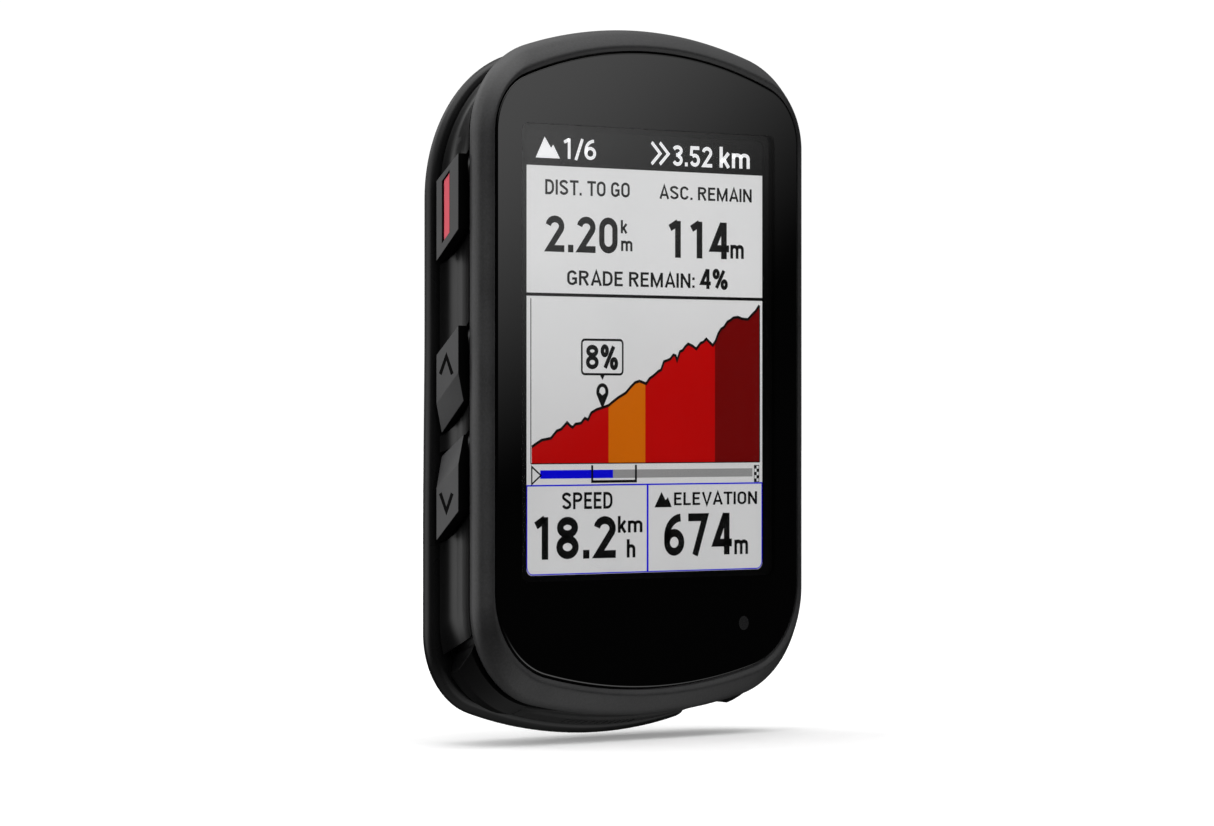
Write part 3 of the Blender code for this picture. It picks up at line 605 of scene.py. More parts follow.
# The lens is printed black all round, and is clear glass over the screen.
WINDOW = window_line(20.22, 26.42, 1.0)
lens_bm = bmesh.new()
lens_rows = [[lens_bm.verts.new(p) for p in ring(lens_line(g), y_at(d))] for g, d in (
    (-0.16, 0.0), (-0.07, 0.02), (-0.02, 0.06), (0.0, 0.12), (0.0, 1.0))]
for row_a, row_b in zip(lens_rows, lens_rows[1:]):
    for i in range(len(row_a)):
        j = (i + 1) % len(row_a)
        lens_bm.faces.new((row_a[i], row_a[j], row_b[j], row_b[i])).material_index = 1
for row, d in ((lens_rows[0], 0.0), (lens_rows[-1], 1.0)):
    pane = [lens_bm.verts.new(Vector((x, y_at(d), z + Z_DISPLAY)) * MM) for x, z in window_line(21.5, 27.0, 1.0)]
    edges = []
    for loop in (row, pane):
        for i in range(len(loop)):
            ends = (loop[i], loop[(i + 1) % len(loop)])
            edges.append(lens_bm.edges.get(ends) or lens_bm.edges.new(ends))
    for face in [f for f in bmesh.ops.triangle_fill(lens_bm, use_beauty=True, edges=edges)["geom"] if isinstance(f, bmesh.types.BMFace)]:
        face.material_index = 1
    lens_bm.faces.new(pane).material_index = 0
lens = piece("lens_glass", lens_bm, GLASS, stands_for=["cover_lens"], smooth=50)
lens.data.materials.append(BORDER)
for face in lens.data.polygons:
    face.use_smooth = abs(face.normal.y) < 0.999
lens.visible_shadow = False


# The printed black border lies right behind the glass: its rings walk from the lens outline to the window.
def bordered(name, outer, inner, d0, d1, mat):
    """A flat frame between two outlines, both walked clockwise, filled with triangles."""
    bm = bmesh.new()
    loops = []
    for d in (d0, d1):
        for line in (outer, inner):
            vs = [bm.verts.new(Vector((x, y_at(d), z + Z_DISPLAY)) * MM) for x, z in line]
            loops.append(vs)
    for k in (0, 2):
        edges = []
        for vs in (loops[k], loops[k + 1]):
            edges += [bm.edges.new((vs[i], vs[(i + 1) % len(vs)])) for i in range(len(vs))]
        bmesh.ops.triangle_fill(bm, use_beauty=True, use_dissolve=False, edges=edges)
    for a, b in ((loops[0], loops[2]), (loops[1], loops[3])):
        for i in range(len(a)):
            j = (i + 1) % len(a)
            bm.faces.new((a[i], a[j], b[j], b[i]))
    return piece(name, bm, mat, smooth=0)


bordered("lens_mask_print", lens_line(-0.35), WINDOW, 1.02, 1.05, MASK)
SENSOR_DOT = plastic("sensor_dot_tint", (0.017, 0.017, 0.018), 0.25, grain=0.3, height=0.0, vary=0.25)
piece("lens_sensor_dot", disc((16.0, -32.75 + Z_DISPLAY), 0.85, y_at(-0.004), y_at(0.002), 40), SENSOR_DOT, smooth=30)


# ---- the readout on the screen --------------------------------------------------------------------
def ribbon(pts, width, closed=False):
    """The quads of a line of that width, with mitred joins and square ends."""
    n = len(pts)
    left, right = [], []
    for i, (x, z) in enumerate(pts):
        a = pts[i - 1] if i or closed else None
        b = pts[(i + 1) % n] if i + 1 < n or closed else None
        d1 = Vector((x - a[0], z - a[1])).normalized() if a else None
        d2 = Vector((b[0] - x, b[1] - z)).normalized() if b else None
        d1, d2 = d1 or d2, d2 or d1
        t = d1 + d2
        t = t.normalized() if t.length > 1e-6 else d1
        k = min(2.2, 1 / max(0.3, t.dot(d1)))
        nx, nz = -t.y * width / 2 * k, t.x * width / 2 * k
        left.append((x + nx, z + nz))
        right.append((x - nx, z - nz))
    return [[left[i], left[(i + 1) % n], right[(i + 1) % n], right[i]] for i in range(n if closed else n - 1)]


def bend(cx, cz, rx, rz, a0, a1, n=10):
    """Points on an ellipse between two angles in degrees."""
    turn = [math.radians(mix(a0, a1, i / n)) for i in range(n + 1)]
    return [(cx + rx * math.cos(a), cz + rz * math.sin(a)) for a in turn]


def glyph(ch, t):
    """(lead, width, trail, strokes) of a plain upright character whose capitals are 1 high."""
    h = t / 2
    w = {"1": 0.36, "I": t, ".": t, ":": t, "/": 0.5, "%": 0.86, "M": 0.84, "m": 1.0, "k": 0.56, "h": 0.56,
         "E": 0.56, "L": 0.54, "A": 0.74, "V": 0.74, "N": 0.68}.get(ch, 0.66)
    r, mid, lo, hi = w / 2 - h, w / 2, h, 1 - h
    oval = bend(mid, 0.68, r, 0.32 - h, 0, 180) + bend(mid, 0.32, r, 0.32 - h, 180, 360)
    strokes = {
        "0": [(oval, True)],
        "O": [(oval, True)],
        "1": [([(w - h, 0), (w - h, 1)], False), ([(0, 0.80), (w - h, 0.955)], False)],
        "2": [(bend(mid, 0.71, r, 0.29 - h, 172, -28) + [(h * 1.4, lo), (w, lo)], False)],
        "3": [(bend(mid * 0.95, 0.745, r, 0.255 - h, 160, -80), False), (bend(mid * 0.95, 0.285, r, 0.285 - h, 80, -160), False),
              ([(w * 0.34, 0.53), (w * 0.56, 0.53)], False)],
        "4": [([(w * 0.68, 0.97), (h * 1.3, 0.285), (w, 0.285)], False), ([(w * 0.74, 0), (w * 0.74, 1)], False)],
        "5": [([(w * 0.94, hi), (w * 0.2, hi), (w * 0.15, 0.53)], False), (bend(mid, 0.32, r, 0.32 - h, 128, -160), False)],
        "6": [(bend(mid, 0.32, r, 0.32 - h, 0, 360, 20)[:-1], True),
              ([(h, 0.3)] + bend(w * 0.84, 0.46, w * 0.84 - h, 0.54 - h, 180, 92), False)],
        "7": [([(0, hi), (w - h * 1.1, hi), (w * 0.34, 0)], False)],
        "8": [(bend(mid, 0.745, r * 0.92, 0.255 - h, 0, 360, 18)[:-1], True),
              (bend(mid, 0.285, r, 0.285 - h, 0, 360, 20)[:-1], True)],
        "/": [([(h * 0.8, -0.04), (w - h * 0.8, 1)], False)],
        ".": [([(h, 0), (h, t * 1.1)], False)],
        ":": [([(h, 0.02), (h, t * 1.15)], False), ([(h, 0.56), (h, 0.56 + t * 1.1)], False)],
        "%": [(bend(w * 0.22, 0.76, w * 0.22 - h * 0.7, 0.24 - h * 0.7, 0, 360, 14)[:-1], True),
              (bend(w * 0.78, 0.24, w * 0.22 - h * 0.7, 0.24 - h * 0.7, 0, 360, 14)[:-1], True),
              ([(w * 0.24, 0.06), (w * 0.76, 0.94)], False)],
        "D": [([(h, lo), (h, hi)] + bend(w * 0.42, 0.6, w * 0.58 - h, 0.4 - h, 90, 0) + bend(w * 0.42, 0.4, w * 0.58 - h, 0.4 - h, 0, -90), True)],
        "I": [([(h, 0), (h, 1)], False)],
        "S": [(bend(mid, 0.74, r, 0.26 - h, 12, 246) + bend(mid, 0.27, r, 0.27 - h, 62, -170), False)],
        "T": [([(0, hi), (w, hi)], False), ([(mid, 0), (mid, hi)], False)],
        "G": [(bend(mid, 0.66, r, 0.34 - h, 18, 180) + bend(mid, 0.34, r, 0.34 - h, 180, 330) + [(w - h, 0.2), (w - h, 0.45), (mid, 0.45)], False)],
        "C": [(bend(mid, 0.66, r, 0.34 - h, 14, 180) + bend(mid, 0.34, r, 0.34 - h, 180, 346), False)],
        "A": [([(h * 0.9, 0), (mid, 0.98), (w - h * 0.9, 0)], False), ([(w * 0.22, 0.29), (w * 0.78, 0.29)], False)],
        "R": [([(h, 0), (h, hi)] + bend(w * 0.52, 0.73, w * 0.46 - h, 0.27 - h, 90, -90) + [(h, 0.46 + h)], False), ([(w * 0.5, 0.5), (w - h * 0.8, 0)], False)],
        "P": [([(h, 0), (h, hi)] + bend(w * 0.52, 0.71, w * 0.48 - h, 0.29 - h, 90, -90) + [(h, 0.42 + h)], False)],
        "E": [([(w, hi), (h, hi), (h, lo), (w, lo)], False), ([(h, 0.52), (w * 0.9, 0.52)], False)],
        "L": [([(h, 1), (h, lo), (w, lo)], False)],
        "M": [([(h, 0), (h, 1)], False), ([(w - h, 0), (w - h, 1)], False), ([(h, 0.95), (mid, 0.08), (w - h, 0.95)], False)],
        "N": [([(h, 0), (h, 1)], False), ([(w - h, 0), (w - h, 1)], False), ([(h, 0.95), (w - h, 0.05)], False)],
        "V": [([(h * 0.9, 1), (mid, 0.02), (w - h * 0.9, 1)], False)],
        "k": [([(h, 0), (h, 1.04)], False), ([(h * 1.2, 0.26), (w * 0.9, 0.74)], False), ([(w * 0.42, 0.42), (w - h * 0.6, 0)], False)],
        "h": [([(h, 0), (h, 1.04)], False), (bend(mid, 0.5, r, 0.25 - h, 180, 0) + [(w - h, 0)], False)],
        "m": [([(h, 0), (h, 0.74)], False), (bend(w * 0.25 + h * 0.5, 0.5, w * 0.25 - h * 0.5, 0.25 - h, 180, 0) + [(w * 0.5, 0)], False),
              (bend(w * 0.75 - h * 0.5, 0.5, w * 0.25 - h * 0.5, 0.25 - h, 180, 0) + [(w - h, 0)], False)],
    }[ch]
    lead = 0.12 if ch == "1" else 0.0
    trail = {"1": 0.24, "T": 0.08, "A": 0.07, "V": 0.07, "/": 0.06}.get(ch, 0.13)
    return lead, w, trail, strokes


class Ink:
    """Flat shapes of one colour on the screen, gathered into one piece."""

    def __init__(self, name, mat, depth):
        self.name, self.mat, self.depth = name, mat, depth
        self.bm = bmesh.new()

    def poly(self, pts):
        """An outline in (x, z), as a leaf 0.006 mm thick, cut into triangles."""
        n = len(pts)
        front = [self.bm.verts.new(Vector((x, y_at(self.depth), z + Z_DISPLAY)) * MM) for x, z in pts]
        back = [self.bm.verts.new(Vector((x, y_at(self.depth + 0.006), z + Z_DISPLAY)) * MM) for x, z in pts]
        f = self.bm.faces.new(front)
        g = self.bm.faces.new(back[::-1])
        for i in range(n):
            j = (i + 1) % n
            self.bm.faces.new((front[i], back[i], back[j], front[j]))
        if n > 4:
            bmesh.ops.triangulate(self.bm, faces=[f, g])

    def rect(self, x0, x1, z0, z1):
        self.poly([(x0, z0), (x1, z0), (x1, z1), (x0, z1)])

    def stroke(self, pts, width, closed=False):
        for quad in ribbon(pts, width, closed):
            self.poly(quad)

    def text(self, words, x0, x1, z0, z1, weight=0.135):
        """Words fitted into a rectangle. The weight is the stroke's share of the capitals' height."""
        pen, quads = 0.0, []
        for ch in words:
            if ch == " ":
                pen += 0.3
                continue
            lead, width, trail, strokes = glyph(ch, weight)
            for pts, closed in strokes:
                quads += ribbon([(pen + lead + x, z) for x, z in pts], weight, closed)
            pen += lead + width + trail
        xs = [x for quad in quads for x, _ in quad]
        zs = [z for quad in quads for _, z in quad]
        kx, kz = (x1 - x0) / (max(xs) - min(xs)), (z1 - z0) / (max(zs) - min(zs))
        for quad in quads:
            self.poly([(x0 + (x - min(xs)) * kx, z0 + (z - min(zs)) * kz) for x, z in quad])

    def done(self):
        return piece(self.name, self.bm, self.mat, smooth=0)


paper = Ink("screen_background", LCD_PAPER, 1.23)
paper.poly(window_line(20.05, 26.25, 0.9))
paper.done()

black = Ink("screen_header_bar", LCD_BLACK, 1.215)
top_bar = [p for p in window_line(20.06, 26.26, 0.9) if p[1] > 24]
black.poly(sorted([p for p in top_bar if p[0] > 0], key=lambda p: -p[1]) + [(20.06, 22.1), (-20.06, 22.1)]
           + sorted([p for p in top_bar if p[0] < 0], key=lambda p: p[1]))
black.done()

white = Ink("screen_header_readout", LCD_WHITE, 1.2)
white.poly([(-18.55, 23.0), (-14.6, 23.0), (-15.7, 24.6), (-16.05, 24.2), (-17.1, 25.5)])
white.text("1/6", -14.0, -8.6, 22.85, 25.5, 0.155)
for x in (0.78, 2.18):
    white.stroke([(x, 25.5), (x + 1.45, 24.2), (x, 22.9)], 0.42)
white.text("3.52", 4.4, 11.2, 22.8, 25.3, 0.174)
white.text("km", 12.5, 17.8, 22.75, 25.4, 0.174)
white.done()

words = Ink("screen_readout", LCD_BLACK, 1.2)
words.text("DIST. TO GO", -17.0, -2.95, 18.72, 20.5, 0.161)
words.text("ASC. REMAIN", 2.1, 18.15, 18.6, 20.62, 0.161)
words.text("2.20", -17.2, -5.0, 11.95, 16.25, 0.188)
words.text("k", -4.45, -3.35, 14.35, 16.0, 0.186)
words.text("m", -4.4, -2.5, 12.3, 13.55, 0.186)
words.text("114", 3.65, 14.15, 11.7, 16.32, 0.188)
words.text("m", 14.4, 16.75, 11.8, 13.5, 0.198)
words.text("GRADE REMAIN:", -13.4, 8.15, 7.9, 10.1, 0.161)
words.text("4%", 8.95, 13.95, 7.95, 10.5, 0.188)
words.rect(-20.05, 20.05, 6.7, 7.08)
words.stroke([(-19.35, 6.4), (-19.35, -13.1)], 0.13)
words.stroke([(-19.35, -13.08), (19.56, -13.08)], 0.13)

CLIMB = [(-19.2, -11.1), (-18.5, -10.73), (-17.6, -10.3), (-16.05, -10.07), (-15.1, -9.2), (-14.4, -9.02), (-13.4, -8.22),
         (-12.9, -8.6), (-12.5, -8.8), (-12.0, -8.4), (-11.1, -8.3), (-10.45, -7.7), (-9.95, -7.92), (-9.4, -7.07), (-8.5, -6.67),
         (-7.55, -6.45), (-6.5, -6.18), (-5.7, -5.7), (-4.9, -5.25), (-3.6, -4.67), (-2.8, -3.98), (-2.05, -3.43), (-1.3, -3.25),
         (-0.17, -3.56), (0.47, -2.9), (1.1, -2.59), (1.93, -2.05), (2.38, -1.9), (2.89, -0.87), (3.45, -0.74), (3.98, -0.55),
         (4.49, -0.06), (4.87, -0.15), (5.12, -0.73), (5.64, 0.36), (6.1, 0.5), (6.53, 0.95), (7.04, 1.3), (7.8, 1.05),
         (8.45, 0.7), (9.2, 1.42), (9.7, 1.55), (10.17, 1.94), (11.32, 1.15), (11.83, 1.7), (12.28, 2.6), (12.8, 3.2),
         (13.3, 3.4), (13.9, 4.08), (14.4, 4.25), (14.9, 4.56), (15.7, 4.66), (16.5, 4.45), (17.5, 4.4), (18.3, 5.05),
         (18.9, 5.47), (19.5, 6.15)]


def climb_at(x):
    for (x0, z0), (x1, z1) in zip(CLIMB, CLIMB[1:]):
        if x0 <= x <= x1:
            return mix(z0, z1, (x - x0) / (x1 - x0))
    return CLIMB[-1][1]


words.stroke(CLIMB, 0.34)
words.stroke([(19.55, 6.15), (19.55, -13.1)], 0.14)
# Grade flag: a rounded box with a small pointer, and the place marker under it.
words.stroke([(x - 7.55, z - 0.42) for x, z in window_line(3.42, 2.05, 0.45, 4)], 0.27, closed=True)
words.text("8%", -10.3, -4.9, -1.95, 1.1, 0.186)
words.poly([(-8.0, -2.5), (-7.1, -2.5), (-7.55, -3.15)])
marker = [(-7.55 + 1.02 * math.cos(math.radians(a)), -4.55 + 1.02 * math.sin(math.radians(a))) for a in range(-25, 206, 15)]
hole = [(-7.55 + 0.5 * math.cos(math.radians(a)), -4.5 + 0.52 * math.sin(math.radians(a))) for a in range(-25, 206, 15)]
for i in range(len(marker) - 1):
    words.poly([marker[i], marker[i + 1], hole[i + 1], hole[i]])
words.poly([marker[-1], (-7.55, -6.6), hole[-1]])
words.poly([(-7.55, -6.6), marker[0], hole[0]])
words.poly([hole[-1], (-7.55, -6.6), hole[0], (-7.55, -4.98)])
# Progress row: start triangle, view bracket and the flag at the end.
words.stroke([(-19.2, -13.42), (-17.7, -14.45), (-19.2, -15.48)], 0.2, closed=True)
words.stroke([(-9.25, -13.3), (-9.25, -15.25), (-1.9, -15.25), (-1.9, -13.3)], 0.32)
for k in range(5):
    z = -13.5 - 0.4 * k
    words.rect(18.6 + (k % 2) * 0.42, 19.02 + (k % 2) * 0.42, z - 0.4, z)
words.stroke([(18.6, -13.5), (19.44, -13.5), (19.44, -15.5), (18.6, -15.5)], 0.09, closed=True)
words.text("SPEED", -14.25, -5.85, -18.5, -16.5, 0.167)
words.text("18.2", -18.8, -5.3, -24.4, -19.2, 0.188)
words.text("km", -4.95, -0.8, -21.5, -19.4, 0.186)
words.text("h", -3.45, -2.0, -24.4, -22.2, 0.186)
words.poly([(1.25, -18.45), (4.2, -18.45), (3.55, -17.25), (3.15, -17.6), (2.45, -16.6)])
words.text("ELEVATION", 4.6, 19.1, -18.5, -16.42, 0.167)
words.text("674", 2.9, 14.65, -24.5, -19.2, 0.188)
words.text("m", 15.1, 17.5, -24.35, -22.55, 0.188)
words.done()


def under_climb(name, mat, x0, x1):
    leaf = Ink(name, mat, 1.215)
    xs = [x0] + [x for x, _ in CLIMB if x0 < x < x1] + [x1]
    for a, b in zip(xs, xs[1:]):
        leaf.poly([(a, -13.05), (b, -13.05), (b, climb_at(b)), (a, climb_at(a))])
    leaf.done()


under_climb("screen_climb_steep_low", LCD_RED, -19.2, -6.5)
under_climb("screen_climb_medium", LCD_AMBER, -6.5, -0.3)
under_climb("screen_climb_steep_high", LCD_RED, -0.3, 11.7)
under_climb("screen_climb_steepest", LCD_DARK_RED, 11.7, 19.5)
bar = Ink("screen_progress_done", LCD_BLUE, 1.215)
bar.rect(-17.8, -5.75, -14.85, -13.85)
bar.rect(-20.05, 20.05, -15.75, -15.57)
bar.rect(-0.05, 0.25, -26.1, -15.7)
bar.stroke([(-19.97, -15.7)] + sorted([p for p in window_line(19.97, 26.15, 0.9) if p[1] < -24 and p[0] < 0], key=lambda p: -p[1])
           + sorted([p for p in window_line(19.97, 26.15, 0.9) if p[1] < -24 and p[0] > 0], key=lambda p: p[1])
           + [(19.97, -15.7)], 0.13)
bar.done()
rest_bar = Ink("screen_progress_left", LCD_GREY, 1.215)
rest_bar.rect(-5.75, 18.3, -14.85, -13.85)
rest_bar.done()


# ---- middle frame ----------------------------------------------------------------------------------
HOLLOW = [
    (26.75, 38.2, -42.75, 0.0, 3.55), (26.52, 37.85, -42.68, 0.15, 4.2), (26.38, 37.35, -42.75, 0.4, 5.1),
    (26.38, 36.95, -43.05, 0.65, 6.0), (26.56, 36.8, -43.5, 0.85, 6.75), (26.92, 36.88, -44.1, 1.0, 7.35),
    (27.45, 37.15, -44.72, 1.0, 7.75),
]
waist_rings = [ring(waist_line(w, t, b, k), y_at(d)) for w, t, b, k, d in eased(HOLLOW, 6, hard=(0, 6))]
waist_rings += [ring(waist_line(24.9, 34.9, -40.6, 1.0), y_at(7.75)), ring(waist_line(24.9, 35.6, -40.6, 0.3, 11.0), y_at(3.55))]
waist = piece("waist_frame", skin(waist_rings, closed=True), WAIST, stands_for=["mid_frame"], smooth=40)


def side_prism(poly, x_in, x_out):
    rings = [[Vector((x, y, z + Z_DISPLAY)) * MM for y, z in poly] for x in (x_in, x_out)]
    return skin(rings)


# name, side, (high, low) at the front edge, (high, low) at the rear edge, sloped end
SIDE_KEYS = [
    ("power", -1, (23.3, 14.4), (20.1, 10.7), None),
    ("up", -1, (3.15, -5.7), (-0.3, -9.5), "low"),
    ("down", -1, (-9.6, -18.6), (-12.2, -22.1), "high"),
    ("enter", 1, (3.15, -5.7), (-0.3, -9.5), "low"),
    ("back", 1, (-9.6, -18.6), (-12.2, -22.1), "high"),
]
adds, cutters = [], []
for side in (-1, 1):
    for px, pz in (SCREWS_TOP, SCREWS_LOW):
        x, z = side * px, pz + Z_DISPLAY
        if pz > 0:
            xs = sorted((x + side * 1.0, side * 25.6))
            adds.append(tool("arm", block((xs[0], y_at(5.2), z - 1.3), (xs[1], y_at(6.9), z + 1.3))))
        else:
            adds.append(tool("arm", block((x - 1.3, y_at(5.2), -41.4 + Z_DISPLAY), (x + 1.3, y_at(6.9), z - 1.0))))
        adds.append(tool("post", disc((x, z), 2.3, y_at(5.0), y_at(7.75), 40)))
        cutters.append(tool("thread", disc((x, z), 1.1, y_at(5.7), y_at(8.4), 32)))
carve(waist, adds, "UNION")


def across(tag, x_a, x_b, half_y, half_z, sign, cy, cz):
    a, b = sorted((x_a * sign, x_b * sign))
    return tool(tag, block((a, cy - half_y, cz - half_z), (b, cy + half_y, cz + half_z)))


def along(tag, sign, r_a, r_b, half_y, half_w):
    """A block on a lower corner's diagonal, between two distances from the corner's centre."""
    diagonal = Matrix.Translation((sign * CORNER[0], 0, CORNER[1] + Z_DISPLAY)) @ Matrix.Rotation(
        math.radians(45 if sign > 0 else 135), 4, "Y")
    return tool(tag, block((r_a, y_at(5.65) - half_y, -half_w), (r_b, y_at(5.65) + half_y, half_w), diagonal))


for name, sign, front, rear_z, _ in SIDE_KEYS:
    middle = sum(front + rear_z) / 4 + Z_DISPLAY
    cutters.append(across("hole_" + name, 23.8, 26.5, 1.3, 2.8, sign, y_at(5.65), middle))
    pocket = [(y_at(3.2), front[0] + 0.75), (y_at(8.2), rear_z[0] + 0.15),
              (y_at(8.2), rear_z[1] - 0.75), (y_at(3.2), front[1] - 0.15)]
    cutters.append(tool("pocket_" + name, side_prism(pocket, POCKET * sign, 30.0 * sign)))
for name, sign in (("lap", -1), ("start", 1)):
    cutters.append(tool("pocket_" + name, skin(corner_shell(
        sign, 3.2, 8.2, math.radians(-5.0), math.radians(-93.2), 24, 8.2, [(3.2, 3.0), (8.2, 3.0)], math.radians(3.2)))))
    cutters.append(along("hole_" + name, sign, 5.0, 8.9, 1.3, 2.3))
cutters.append(tool("socket_hole", block((-4.85, y_at(4.0), -43.5 + Z_DISPLAY), (4.85, y_at(7.3), -39.9 + Z_DISPLAY))))


def cap_rings(x0, x1, y_front, y_rear, grow=0.0, lift=0.0, steps=40, slant=0.0):
    rows = []
    for i in range(steps + 1):
        x = mix(x0, x1, i / steps)
        zf, zr = low_arc(x, -43.45, 90), low_arc(x, -44.75, 72)
        yf = y_front + slant * max(0.0, -12.2 - x)
        rows.append([Vector((x, y, z + Z_DISPLAY)) * MM for y, z in (
            (yf, zf - grow), (max(yf + 0.3, y_at(5.1)), mix(zf, zr, 0.22) - grow),
            (max(yf + 0.5, y_at(5.3)), mix(zf, zr, 0.5) - grow), (y_rear, zr - grow),
            (y_rear, zf + 1.0 + lift), (yf, zf + 1.0 + lift))])
    return rows


cutters.append(tool("cap_recess", skin(cap_rings(CAP_X0 - 0.7, CAP_X1 + 0.4, y_at(3.2), y_at(8.2), 4.0, 0.3))))
carve(waist, cutters)
even = waist.modifiers.new("even_normals", "WEIGHTED_NORMAL")
even.keep_sharp = True


# ---- side keys ---------------------------------------------------------------------------------------
def key_marks(name, sign, lines, body, width=0.5, x=None):
    """Marks in a key's face, each a (y depth, z) polyline: near-black leaves a hair proud of the face, painted shade
    for engraved recesses.
    """
    bm = bmesh.new()
    face = (KEY_FACE if x is None else x) * sign
    for pts in lines:
        n = len(pts)
        left, right = [], []
        for i, (d, z) in enumerate(pts):
            a = pts[max(0, i - 1)]
            b = pts[min(n - 1, i + 1)]
            t = Vector((b[0] - a[0], b[1] - a[1])).normalized()
            d1 = Vector((b[0] - d, b[1] - z)) if i == 0 else Vector((d - a[0], z - a[1]))
            k = min(2.0, 1 / max(0.4, t.dot(d1.normalized())))
            left.append((d - t.y * width / 2 * k, z + t.x * width / 2 * k))
            right.append((d + t.y * width / 2 * k, z - t.x * width / 2 * k))
        for i in range(n - 1):
            quad = [left[i], left[i + 1], right[i + 1], right[i]]
            lo = [bm.verts.new(Vector((face - sign * 0.1, y_at(d), z + Z_DISPLAY)) * MM) for d, z in quad]
            hi = [bm.verts.new(Vector((face + sign * 0.012, y_at(d), z + Z_DISPLAY)) * MM) for d, z in quad]
            bm.faces.new(lo)
            bm.faces.new(hi)
            for k in range(4):
                j = (k + 1) % 4
                bm.faces.new((lo[k], lo[j], hi[j], hi[k]))
    return piece(name, bm, MARK_PAINTED_SHADE, body=body, smooth=0)


def add_stem(key, sign, front, rear_z):
    middle = sum(front + rear_z) / 4 + Z_DISPLAY
    carve(key, [across("stem", 26.8, 24.3, 1.0, 2.5, sign, y_at(5.65), middle),
                across("barb", 24.5, 24.0, 1.0, 3.4, sign, y_at(5.65), middle)], "UNION")


for name, sign, front, rear_z, slope in SIDE_KEYS:
    y_f, y_r = y_at(3.75), y_at(7.55)
    face, fall = KEY_FACE * sign, 0.85 * sign
    if slope is None:
        poly = [(y_f, front[0]), (y_r, rear_z[0]), (y_r, rear_z[1]), (y_f, front[1])]
        bm = side_prism(poly, 26.6 * sign, face)
        key = piece("power_key", bm, KEYS, body="power_key", stands_for=["power_button"], smooth=0)
        slot = [(y_at(5.3), 21.3), (y_at(6.55), 20.1), (y_at(6.55), 12.85), (y_at(5.3), 14.05)]
        carve(key, [tool("slot", side_prism(slot, 27.55 * sign, 29.0 * sign))])
        add_stem(key, sign, front, rear_z)
        paint_side_shade(key, KEY_SIDES_PAINTED_SHADE)
        bevel(key, 0.2, 4, 30)
    else:
        lead = 0.62 if slope == "low" else 0.38
        brk_f, brk_r = mix(front[0], front[1], lead), mix(rear_z[0], rear_z[1], lead)
        outer = {"low": (0.0, 0.0, fall, fall), "high": (fall, fall, 0.0, 0.0)}[slope]
        pts = [(y_f, front[0], outer[0]), (y_r, rear_z[0], outer[1]), (y_r, brk_r, 0.0),
               (y_r, rear_z[1], outer[2]), (y_f, front[1], outer[3]), (y_f, brk_f, 0.0)]
        bm = bmesh.new()
        base = [bm.verts.new(Vector((26.6 * sign, y, z + Z_DISPLAY)) * MM) for y, z, _ in pts]
        top = [bm.verts.new(Vector((face - drop, y, z + Z_DISPLAY)) * MM) for y, z, drop in pts]
        for i in range(6):
            j = (i + 1) % 6
            bm.faces.new((base[i], base[j], top[j], top[i]))
        bm.faces.new(base)
        bm.faces.new((top[0], top[1], top[2], top[5]))
        bm.faces.new((top[2], top[3], top[4], top[5]))
        key = piece(name + "_key", bm, KEYS, body=name + "_key", stands_for=[name + "_button"], smooth=0)
        add_stem(key, sign, front, rear_z)
        paint_side_shade(key, KEY_SIDES_PAINTED_SHADE)
        bevel(key, 0.18, 4, 8)
for sign, up, down in ((-1, "up", "down"),):
    key_marks("up_key_mark", sign, [[(6.85, -2.55), (5.8, -0.45), (4.8, -2.55)]], up + "_key")
    key_marks("down_key_mark", sign, [[(6.85, -16.5), (5.8, -18.6), (4.8, -16.5)]], down + "_key")
key_marks("enter_key_mark", 1, [[(4.7, -1.9), (5.5, -2.9), (7.0, -0.6)]], "enter_key", 0.42)
key_marks("back_key_mark", 1, [[(6.9, -17.4), (4.8, -17.4)], [(5.7, -16.5), (4.75, -17.4), (5.7, -18.3)]], "back_key", 0.42)

red = side_prism([(y_at(5.42), 21.1), (y_at(6.42), 20.12), (y_at(6.42), 13.05), (y_at(5.42), 14.0)], -27.72, -28.05)
bevel(piece("power_key_insert", red, RED, body="power_key", stands_for=["power_button_insert"], smooth=0), 0.1, 3, 30)

# ---- corner keys ---------------------------------------------------------------------------------------
for name, sign in (("lap", -1), ("start", 1)):
    rows = corner_shell(sign, 3.5, 7.5, math.radians(-18.0), math.radians(-88.2), 32, 9.05,
                        [(3.5, 0.15), (5.3, 1.35), (7.5, 1.25)], math.radians(2.5), math.radians(4.5))
    key = piece(name + "_key", skin(rows), CORNER_KEYS, body=name + "_key", stands_for=[name + "_button"], smooth=30)
    carve(key, [along("stem", sign, 5.7, 9.6, 1.0, 2.0), along("barb", sign, 5.35, 5.8, 1.0, 2.4)], "UNION")
    bevel(key, 0.18, 3, 30)

# ---- weather cap ---------------------------------------------------------------------------------------
rib_bm = bmesh.new()
for k in range(11):
    x = -8.2 + 1.12 * k
    for half in (0.28,):
        rows = []
        for xx in (x - half, x + half):
            zf, zr = low_arc(xx, -43.45, 90), low_arc(xx, -44.75, 72)
            rows.append([(xx, y_at(d), mix(zf, zr, 0.5 + 0.5 * (d - 5.3) / 2.15) - out + Z_DISPLAY)
                         for d, out in ((5.55, -0.2), (5.65, 0.1), (6.85, 0.1), (6.95, -0.2))])
        vs = [[rib_bm.verts.new(Vector(p) * MM) for p in row] for row in rows]
        for i in range(4):
            j = (i + 1) % 4
            rib_bm.faces.new((vs[0][i], vs[0][j], vs[1][j], vs[1][i]))
        rib_bm.faces.new(vs[0])
        rib_bm.faces.new(vs[1])
piece("charge_cap_ribs", rib_bm, RUBBER, body="charge_cover", smooth=0)
cap = piece("charge_cap", skin(cap_rings(CAP_X0, CAP_X1, y_at(3.9), y_at(7.45), slant=0.5)), RUBBER,
            body="charge_cover", stands_for=["weather_cap"], smooth=25)
